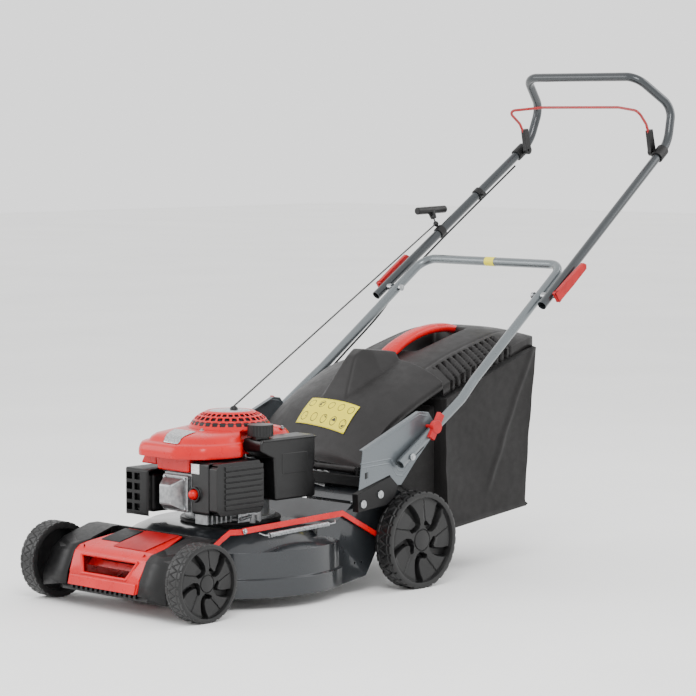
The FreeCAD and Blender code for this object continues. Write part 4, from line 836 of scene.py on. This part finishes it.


# Painted shade: a thin black cone just inside the cage, seen through its windows in place of the shade inside
# the dome.
RECOIL_DOME_SHADE_PROFILE = (
    (86, 379), (88, 383), (86, 391), (55, 410), (46, 411), (46, 409.5), (54, 408), (84, 390), (86, 383),
    (86, 379))
turned_piece(
    "recoil_dome_painted_shade", RECOIL_DOME_SHADE_PROFILE, (ENGINE[0] * 1000, ENGINE[1] * 1000, 0), black_nylon,
    "deck", "dark_plastic")
dome_points, dome_faces = dome_grid()
made_piece(
    "recoil_dome_cage", dome_points, dome_faces, red_plastic, "deck", "red_plastic", ("recoil_grille",),
    60.0, thick=0.0022, rounds=1)
RECOIL_DOME_DISC_PROFILE = ((0, 411), (46.5, 411), (46.5, 413.4), (45, 414), (0, 414))
turned_piece("recoil_dome_disc", RECOIL_DOME_DISC_PROFILE, (0, 310, 0), foil, "deck", "steel")
ROPE_EYELET_PROFILE = ((0, 413), (9, 413), (9, 417), (7.5, 420), (4.5, 422), (0, 422))
turned_piece("rope_eyelet", ROPE_EYELET_PROFILE, (0, 322, 0), black_nylon, "deck", "dark_plastic", steps=32)

finished("recoil_pulley", "recoil_pulley_disc", "recoil_pulley", black_nylon, 0.0004)

# Rear flap. A dark grey-brown moulding with a spark-eroded surface, hinged at the front on the rail;
# a faceted air dome rises from it towards the grip of the catcher.
flap_plastic = surfaced(
    "textured grey-brown polypropylene", ("#110f0f", "#161414", 0.03), (0.40, 0.52, 0.02),
    (0.0012, 0.00012), Specular_IOR_Level=0.35)
FLAP_STATIONS = (
    (546, 270, 12, 180), (560, 296, 22, 182), (618, 362, 36, 186), (700, 413, 44, 192), (800, 459, 46, 198))


def through(stations, steps):
    """Values at even steps on a smooth curve through the stations, by Catmull and Rom's rule."""
    known = np.array(stations, dtype=float)
    known = np.concatenate([2 * known[:1] - known[1:2], known, 2 * known[-1:] - known[-2:-1]])
    place = np.linspace(0, len(stations) - 1 - 1e-9, steps)
    k = place.astype(int)
    t = (place - k)[:, None]
    a, b, c, d = known[k], known[k + 1], known[k + 2], known[k + 3]
    return 0.5 * (
        2 * b + (c - a) * t + (2 * a - 5 * b + 4 * c - d) * t ** 2 + (3 * b - a - 3 * c + d) * t ** 3)


def arched(stations, steps, columns, skirt, power):
    """Grid of an arched cover: at each station the top falls from its crown to the side by a power
    of the distance from the middle, and a short skirt hangs from each side."""
    rows = through(stations, steps)
    t = np.linspace(-1, 1, columns)
    t = np.sign(t) * (1 - (1 - np.abs(t)) ** 1.35)
    x = rows[:, 3:4] * t
    z = rows[:, 1:2] + rows[:, 2:3] * (1 - np.abs(t) ** power)
    y = np.repeat(rows[:, 0:1], columns, axis=1)
    edges = []
    for side in (-1, 1):
        drop = np.array([1.5, 4, skirt * 0.5, skirt])[None]
        out = np.array([0.9, 1.4, 1.6, 1.8])[None]
        column = 0 if side < 0 else -1
        edge = np.stack(
            [x[:, column, None] + side * out, np.repeat(y[:, column, None], 4, axis=1),
            z[:, column, None] - drop], axis=-1)
        edges.append(edge[:, ::-1] if side < 0 else edge)
    return np.concatenate([edges[0], np.stack([x, y, z], axis=-1), edges[1]], axis=1)


def soft_least(values, ease):
    """Smallest of several fields, with the creases between them eased."""
    return -ease * np.log(sum(np.exp(-v / ease) for v in values))


flap = arched(FLAP_STATIONS, 120, 121, 18, 2.4)
x, y, z = flap[..., 0], flap[..., 1], flap[..., 2]
ahead = (y - 640) * 1.0
aside = (np.minimum(40 + (y - 650) * 0.2, 58) - np.abs(x)) * 1.6
above = 58 - np.maximum(y - 724, 0) * 0.55
dome = soft_least((ahead, aside, above), 2.2)
flap[..., 2] = z + 2.5 * np.log1p(np.exp(np.clip(dome / 2.5, -30, 30)))
flap = flap / 1000
flap[..., 1] += AXLE_Y
made_piece(
    "rear_flap_moulding", flap, grid_faces(flap.shape[0], flap.shape[1], False), flap_plastic, "flap",
    "flap_plastic", ("rear_flap",), 60.0, thick=0.0026)
FLAP_HINGE_BARREL_PROFILE = ((0, -176), (8, -176), (8, 176), (0, 176))
turned_piece(
    "flap_hinge_barrel", FLAP_HINGE_BARREL_PROFILE, (0, 538, 272), flap_plastic, "flap", "flap_plastic",
    axis="x")

# Flap label. Pale yellow film with generic outline pictograms: rings and blots in black.
label_film, tree, shader, place = finish_of("pale yellow label film", Roughness=0.4)
grain(tree, shader, place, 0.002, 0.00002)
uv = add(tree, "ShaderNodeUVMap", uv_map="label")
cells = add(tree, "ShaderNodeVectorMath", {1: (5.0, 2.0, 1.0)}, {0: uv.outputs["UV"]}, operation="MULTIPLY")
local = add(tree, "ShaderNodeVectorMath", links={0: cells.outputs["Vector"]}, operation="FRACTION")
middle = add(
    tree, "ShaderNodeVectorMath", {1: (0.5, 0.5, 0.0)}, {0: local.outputs["Vector"]}, operation="SUBTRACT")
far = add(tree, "ShaderNodeVectorMath", links={0: middle.outputs["Vector"]}, operation="LENGTH")
ring = add(tree, "ShaderNodeMath", {1: 0.27}, {0: far.outputs["Value"]}, operation="SUBTRACT")
ring = add(tree, "ShaderNodeMath", links={0: ring.outputs["Value"]}, operation="ABSOLUTE")
ring = add(tree, "ShaderNodeMath", {1: 0.025}, {0: ring.outputs["Value"]}, operation="LESS_THAN")
blot = add(tree, "ShaderNodeTexNoise", {"Scale": 9.0, "Detail": 0.0}, {"Vector": uv.outputs["UV"]})
blot = add(tree, "ShaderNodeMath", {1: 0.60}, {0: blot.outputs["Fac"]}, operation="GREATER_THAN")
near = add(tree, "ShaderNodeMath", {1: 0.2}, {0: far.outputs["Value"]}, operation="LESS_THAN")
blot = add(
    tree, "ShaderNodeMath", links={0: blot.outputs["Value"], 1: near.outputs["Value"]},
    operation="MULTIPLY")
mark = add(
    tree, "ShaderNodeMath", links={0: ring.outputs["Value"], 1: blot.outputs["Value"]}, operation="MAXIMUM")
ink = add(
    tree, "ShaderNodeMix", {"A": linear("#e0d326"), "B": linear("#2c2b1a")},
    {"Factor": mark.outputs["Value"]}, data_type="RGBA")
tree.links.new(ink.outputs["Result"], shader.inputs["Base Color"])


def decal(name, corners, material, body, slot, lift=0.0012, steps=16, onto=None):
    """Thin label between four corners in millimetres, with its own UV map, lifted off the surface.
    Where a height function of x and y is given, the label follows it."""
    a, b, c, d = (np.array(p, dtype=float) for p in corners)
    v, u = np.meshgrid(np.linspace(0, 1, steps), np.linspace(0, 1, steps), indexing="ij")
    u, v = u[..., None], v[..., None]
    points = a * (1 - u) * (1 - v) + b * u * (1 - v) + c * u * v + d * (1 - u) * v
    if onto is not None:
        points[..., 2] = onto(points[..., 0], points[..., 1])
    points = points / 1000
    points[..., 1] += AXLE_Y
    made = made_piece(
        name, points, grid_faces(steps, steps, False), material, body, slot, thick=0.0004, solid=False)
    normals = sum((np.array(f.normal) for f in made.data.polygons), np.zeros(3))
    normals /= np.linalg.norm(normals)
    flat = np.empty(len(made.data.vertices) * 3)
    made.data.vertices.foreach_get("co", flat)
    made.data.vertices.foreach_set(
        "co", (flat.reshape(-1, 3) + normals * lift * (1 if normals[2] > -0.2 else -1)).ravel())
    layer = made.data.uv_layers.new(name="label")
    index = np.empty(len(made.data.loops), dtype=int)
    made.data.loops.foreach_get("vertex_index", index)
    pairs = np.stack([u[..., 0].ravel(), v[..., 0].ravel()], axis=-1)[index]
    layer.data.foreach_set("uv", pairs.ravel())
    return made


def height_on(piece):
    """Height function of a piece's upper face, from rays sent down on its mesh at each station."""
    tree = BVHTree.FromPolygons(
        [v.co for v in piece.data.vertices], [f.vertices for f in piece.data.polygons])

    def height(x, y):
        out = np.zeros(x.shape)
        for index in np.ndindex(x.shape):
            hit = tree.ray_cast((x[index] / 1000, y[index] / 1000 + AXLE_Y, 0.8), (0, 0, -1))
            out[index] = hit[0].z * 1000 if hit[0] else 0
        return out
    return height


def flap_height(x, y):
    """Height of the flap's plain surface at a station, from the nearest rows and columns."""
    rows = through(FLAP_STATIONS, 400)
    side, crown, half_width = (np.interp(y, rows[:, 0], rows[:, k]) for k in (1, 2, 3))
    return side + crown * (1 - np.clip(np.abs(x) / half_width, 0, 1) ** 2.4)


FLAP_LABEL_CORNERS = ((-72, 588, 0), (92, 580, 0), (96, 632, 0), (-66, 638, 0))
decal("flap_label", FLAP_LABEL_CORNERS, label_film, "flap", "flap_plastic", lift=0.0016, onto=flap_height)

# Hood badge. A four-cornered patch of the silver foil, bare of any mark, laid on the hood's front tier.
HOOD_BADGE_CORNERS = ((-11, 119, 0), (38, 115, 0), (26, 183, 0), (-50, 188, 0))
decal("hood_badge", HOOD_BADGE_CORNERS, foil, "deck", "steel", lift=0.0018, onto=height_on(hood))

# Catcher lid. The same textured polypropylene, arched, with louvred vents along each shoulder and a
# recess for the hand under the red grip.
LID_STATIONS = (
    (802, 450, 44, 197), (900, 486, 42, 199), (1040, 528, 35, 197), (1108, 544, 20, 191),
    (1130, 546, 12, 186))
lid = arched(LID_STATIONS, 240, 131, 26, 2.6)
x, y, z = lid[..., 0], lid[..., 1], lid[..., 2]
hollow = (1 - smooth_ramp(np.abs(x), 40, 54)) * smooth_ramp(y, 862, 884) * (1 - smooth_ramp(y, 1026, 1046))
z = z - hollow * np.maximum(z - 508, 0)
zone = smooth_ramp(np.abs(x), 140, 146) * smooth_ramp(y, 826, 830) * (1 - smooth_ramp(y, 1036, 1040))
louvre = smooth_ramp(np.abs(((y + 0.25 * (np.abs(x) - 170)) / 19.0) % 1 - 0.5), 0.17, 0.25)
skirt_part = (np.arange(lid.shape[1]) < 3) | (np.arange(lid.shape[1]) >= lid.shape[1] - 3)
z = z - 8.0 * zone * louvre * np.where(skirt_part, 0.0, 1.0)
x = x - np.sign(x) * 7.0 * zone * louvre
fold = 1.6 * (1 - smooth_ramp(np.abs(np.abs(x) - 128), 0, 5))
lid = np.stack([x, y, z - fold], axis=-1) / 1000
lid[..., 1] += AXLE_Y
made_piece(
    "bag_lid_moulding", lid, grid_faces(lid.shape[0], lid.shape[1], False), flap_plastic, "grass_bag",
    "flap_plastic", ("bag_lid",), 50.0, thick=0.0026)

# Grip of the catcher. A bright red moulded arch, wider than it is thick, screwed to the lid at both
# ends.
GRIP_LINE = ((808, 498, 26, 8), (832, 516, 25, 10), (866, 534, 22, 11), (912, 551, 20, 11),
             (962, 561, 19, 11),
             (1012, 563, 18, 11), (1050, 557, 17, 10), (1080, 546, 14, 7), (1090, 541, 9, 3))


def strap(stations, steps, around):
    """Grid of a bar along Y and Z with a rounded oblong section: half width and half height vary
    with the stations."""
    rows = through(stations, steps)
    angle = np.linspace(0, 2 * np.pi, around, endpoint=False)
    lean = np.gradient(rows[:, 1], rows[:, 0])
    norm = np.hypot(1, lean)
    across = np.sign(np.cos(angle)) * np.abs(np.cos(angle)) ** 0.7
    upward = np.sign(np.sin(angle)) * np.abs(np.sin(angle)) ** 0.8
    x = rows[:, 2:3] * across
    y = rows[:, 0:1] - (lean / norm)[:, None] * rows[:, 3:4] * upward
    z = rows[:, 1:2] + (1 / norm)[:, None] * rows[:, 3:4] * upward
    body = np.stack([x, y, z], axis=-1)
    caps = [np.repeat(body[k].mean(axis=0)[None, None], around, axis=1) for k in (0, -1)]
    grid = np.concatenate([caps[0], body, caps[1]]) / 1000
    grid[..., 1] += AXLE_Y
    return grid


grip = strap(GRIP_LINE, 90, 40)
made_piece(
    "bag_grip_moulding", grip, grid_faces(grip.shape[0], 40, True), red_plastic, "grass_bag",
    "red_plastic", ("bag_handle",), 60.0)

# Bag. Coated polyester cloth sewn into a box that hangs from the lid, drawn in a little between its
# seams, with a fold across each side panel and a hem bead round the floor.
bag_weave, tree, shader, place = finish_of(
    "coated polyester bag fabric", Specular_IOR_Level=0.25, Sheen_Weight=0.08)
mottle(tree, shader, place, "#0f0d0d", "#131111", 0.05)
wear(tree, shader, place, 0.55, 0.7, 0.02)
threads = add(
    tree, "ShaderNodeTexWave", {"Scale": 220.0, "Distortion": 0.4}, {"Vector": place},
    bands_direction="DIAGONAL")
weave = add(tree, "ShaderNodeBump", {"Distance": 0.00012}, {"Height": threads.outputs["Fac"]})
tree.links.new(weave.outputs["Normal"], shader.inputs["Normal"])
BAG_HALF = 207.0
BAG_STEPS = (70, 60)


def bag_shell():
    """Closed bag: plan curves of a rounded oblong from floor to rim, whose front and back lines lean
    with height, drawn in between the seams and folded along a slanting line; both ends close."""
    up, along = BAG_STEPS
    quarter = np.linspace(0, 1, along, endpoint=False)
    side = np.concatenate([quarter, np.ones(along), 1 - quarter, np.zeros(along)])
    cross = np.concatenate([np.ones(along), 1 - 2 * quarter, -np.ones(along), -1 + 2 * quarter])
    corner = 0.055
    round_off = np.minimum(smooth_ramp(side, 0, corner) * smooth_ramp(1 - side, 0, corner) + 0.93, 1.0)
    heights = np.concatenate([np.zeros(1), np.linspace(0, 1, up), np.ones(1)])
    level, share = np.meshgrid(heights, side, indexing="ij")
    width = np.repeat(cross[None], len(heights), axis=0)
    front = 803 + 31 * (1 - level) ** 7
    back = 1090 + 40 * level
    y = front + (back - front) * share
    top = 416 + 0.325 * (y - 803)
    floor_z = 112 + 0.113 * (y - 834)
    z = floor_z + level * (top - floor_z)
    belly = np.sin(np.pi * level)
    draw = 7 * belly * np.sin(np.pi * share) ** 0.6
    slant = share - (0.42 + 0.52 * level)
    crease = 3.2 * np.exp(-(slant / 0.03) ** 2) * smooth_ramp(level, 0.12, 0.3)
    ripple = 1.6 * belly * np.sin(9 * share + 5 * level) + 1.1 * belly * np.sin(23 * level + 7 * share)
    sideways = np.abs(width) > 0.999
    x = width * (BAG_HALF - np.where(sideways, draw - crease - ripple, 0) - 3) * round_off
    y = y - np.where((share > 0.999) & ~sideways, 6 * belly * (1 - width ** 2), 0)
    hem = 4.5 * np.exp(-((level - 0.012) / 0.012) ** 2)
    x = x + np.sign(x) * np.where(sideways, hem, 0)
    y = y + np.where(share > 0.97, hem * 1.6, 0)
    points = np.stack([x, y, z], axis=-1)
    points[0] = points[1].mean(axis=0)
    points[-1] = points[-2].mean(axis=0)
    points = points / 1000
    points[..., 1] += AXLE_Y
    return points


bag = bag_shell()
made_piece(
    "bag_fabric_shell", bag, grid_faces(bag.shape[0], bag.shape[1], True), bag_weave, "grass_bag",
    "bag_fabric", ("bag_fabric",), 50.0)
BAG_MOUTH_SLEEVE_OUTLINE = ((580, 281), (803, 402), (803, 190), (742, 191))
made_piece(
    "bag_mouth_sleeve", *prism(BAG_MOUTH_SLEEVE_OUTLINE, -172, 172), bag_weave, "grass_bag", "bag_fabric",
    edge=0.006)

finished("bag_frame", "bag_frame_wire", "grass_bag", black_steel)

# Tank, air filter, caps and primer. Black satin mouldings hung on the left side of the engine, and
# a red rubber primer bulb beside the filter.
satin_black = surfaced(
    "black satin polyethylene", ("#070708", "#0c0c0d", 0.02), (0.28, 0.42, 0.02), (0.0015, 0.00012),
    Specular_IOR_Level=0.4)
TANK_OUTLINE = (
    (307, 222), (431, 222), (431, 262), (426, 272), (426, 286), (431, 296), (431, 362), (268, 362),
    (262, 352), (262, 334), (302, 316))
made_piece(
    "fuel_tank_moulding", *prism(TANK_OUTLINE, 90, 152), satin_black, "deck", "dark_plastic",
    ("fuel_tank",), crease=20.0, edge=0.006)
FUEL_TANK_PANEL_OUTLINE = ((326, 280), (404, 280), (404, 326), (326, 326))
made_piece(
    "fuel_tank_panel", *prism(FUEL_TANK_PANEL_OUTLINE, 150, 152.8), satin_black, "deck", "dark_plastic",
    edge=0.001)
FUEL_TANK_LIP_OUTLINE = ((268, 355), (433, 355), (433, 359), (268, 359))
made_piece(
    "fuel_tank_lip", *prism(FUEL_TANK_LIP_OUTLINE, 88, 153.6), satin_black, "deck", "dark_plastic",
    edge=0.0018)
FUEL_TANK_NECK_PROFILE = ((0, 355), (20, 355), (20, 372), (22, 374), (22, 378), (0, 378))
turned_piece("fuel_tank_neck", FUEL_TANK_NECK_PROFILE, (123, 287, 0), satin_black, "deck", "dark_plastic")
finished("air_filter_base", "air_filter_housing", "deck", satin_black, 0.002, 3)
finished("air_filter_cover", "air_filter_ribbed_cover", "deck", satin_black, 0.001)
finished("fuel_cap", "fuel_cap_moulding", "fuel_cap", satin_black, 0.0008)
finished("oil_cap", "oil_cap_moulding", "oil_cap", satin_black, 0.0006)
finished("primer_bulb", "primer_bulb_rubber", "primer", red_plastic)

# Crankshaft, flywheel and blade. Machined steel shaft with an aluminium flywheel above and the
# cutting blade below, bolted in its holder.
for node in ("crankshaft", "blade_holder", "blade_bolt"):
    finished(node, node + "_turned", "crankshaft_group", zinc, 0.0003)
finished("flywheel", "flywheel_casting", "crankshaft_group", engine_alloy, 0.0004)
finished("blade", "cutting_blade", "crankshaft_group", black_steel, 0.0004)

# Labels. A white rating plate on the deck behind the engine, a small one on the air filter, and a
# yellow film band round the crossbar; none carries lettering, only rules and blocks on the white ones and rings
# and blots on the band.
plate_film, tree, shader, place = finish_of("white label film", Roughness=0.35)
grain(tree, shader, place, 0.002, 0.00002)
uv = add(tree, "ShaderNodeUVMap", uv_map="label")
rules = add(
    tree, "ShaderNodeTexBrick", {"Color1": linear("#9b9da0"), "Color2": linear("#d9dadb"),
    "Mortar": linear("#f0f0ef"), "Scale": 3.2, "Mortar Size": 0.06, "Brick Width": 0.9, "Row Height": 0.3},
    {"Vector": uv.outputs["UV"]})
tree.links.new(rules.outputs["Color"], shader.inputs["Base Color"])


DECK_RATING_PLATE_CORNERS = ((0, 530, 0), (92, 518, 0), (60, 575, 0), (-15, 590, 0))
decal(
    "deck_rating_plate", DECK_RATING_PLATE_CORNERS, plate_film, "deck", "steel", lift=0.0012,
    onto=height_on(deck))
AIR_FILTER_LABEL_CORNERS = ((66, 131.6, 292), (92, 131.6, 292), (92, 131.6, 314), (66, 131.6, 314))
decal("air_filter_label", AIR_FILTER_LABEL_CORNERS, plate_film, "deck", "dark_plastic", lift=0.0004)
CROSSBAR_BAND_PROFILE = ((11.05, -15), (11.35, -15), (11.35, 15), (11.05, 15))
turned_piece(
    "crossbar_band", CROSSBAR_BAND_PROFILE, (-4, 1195, 716), label_film, "lower_handle", "tube_enamel",
    axis="x")
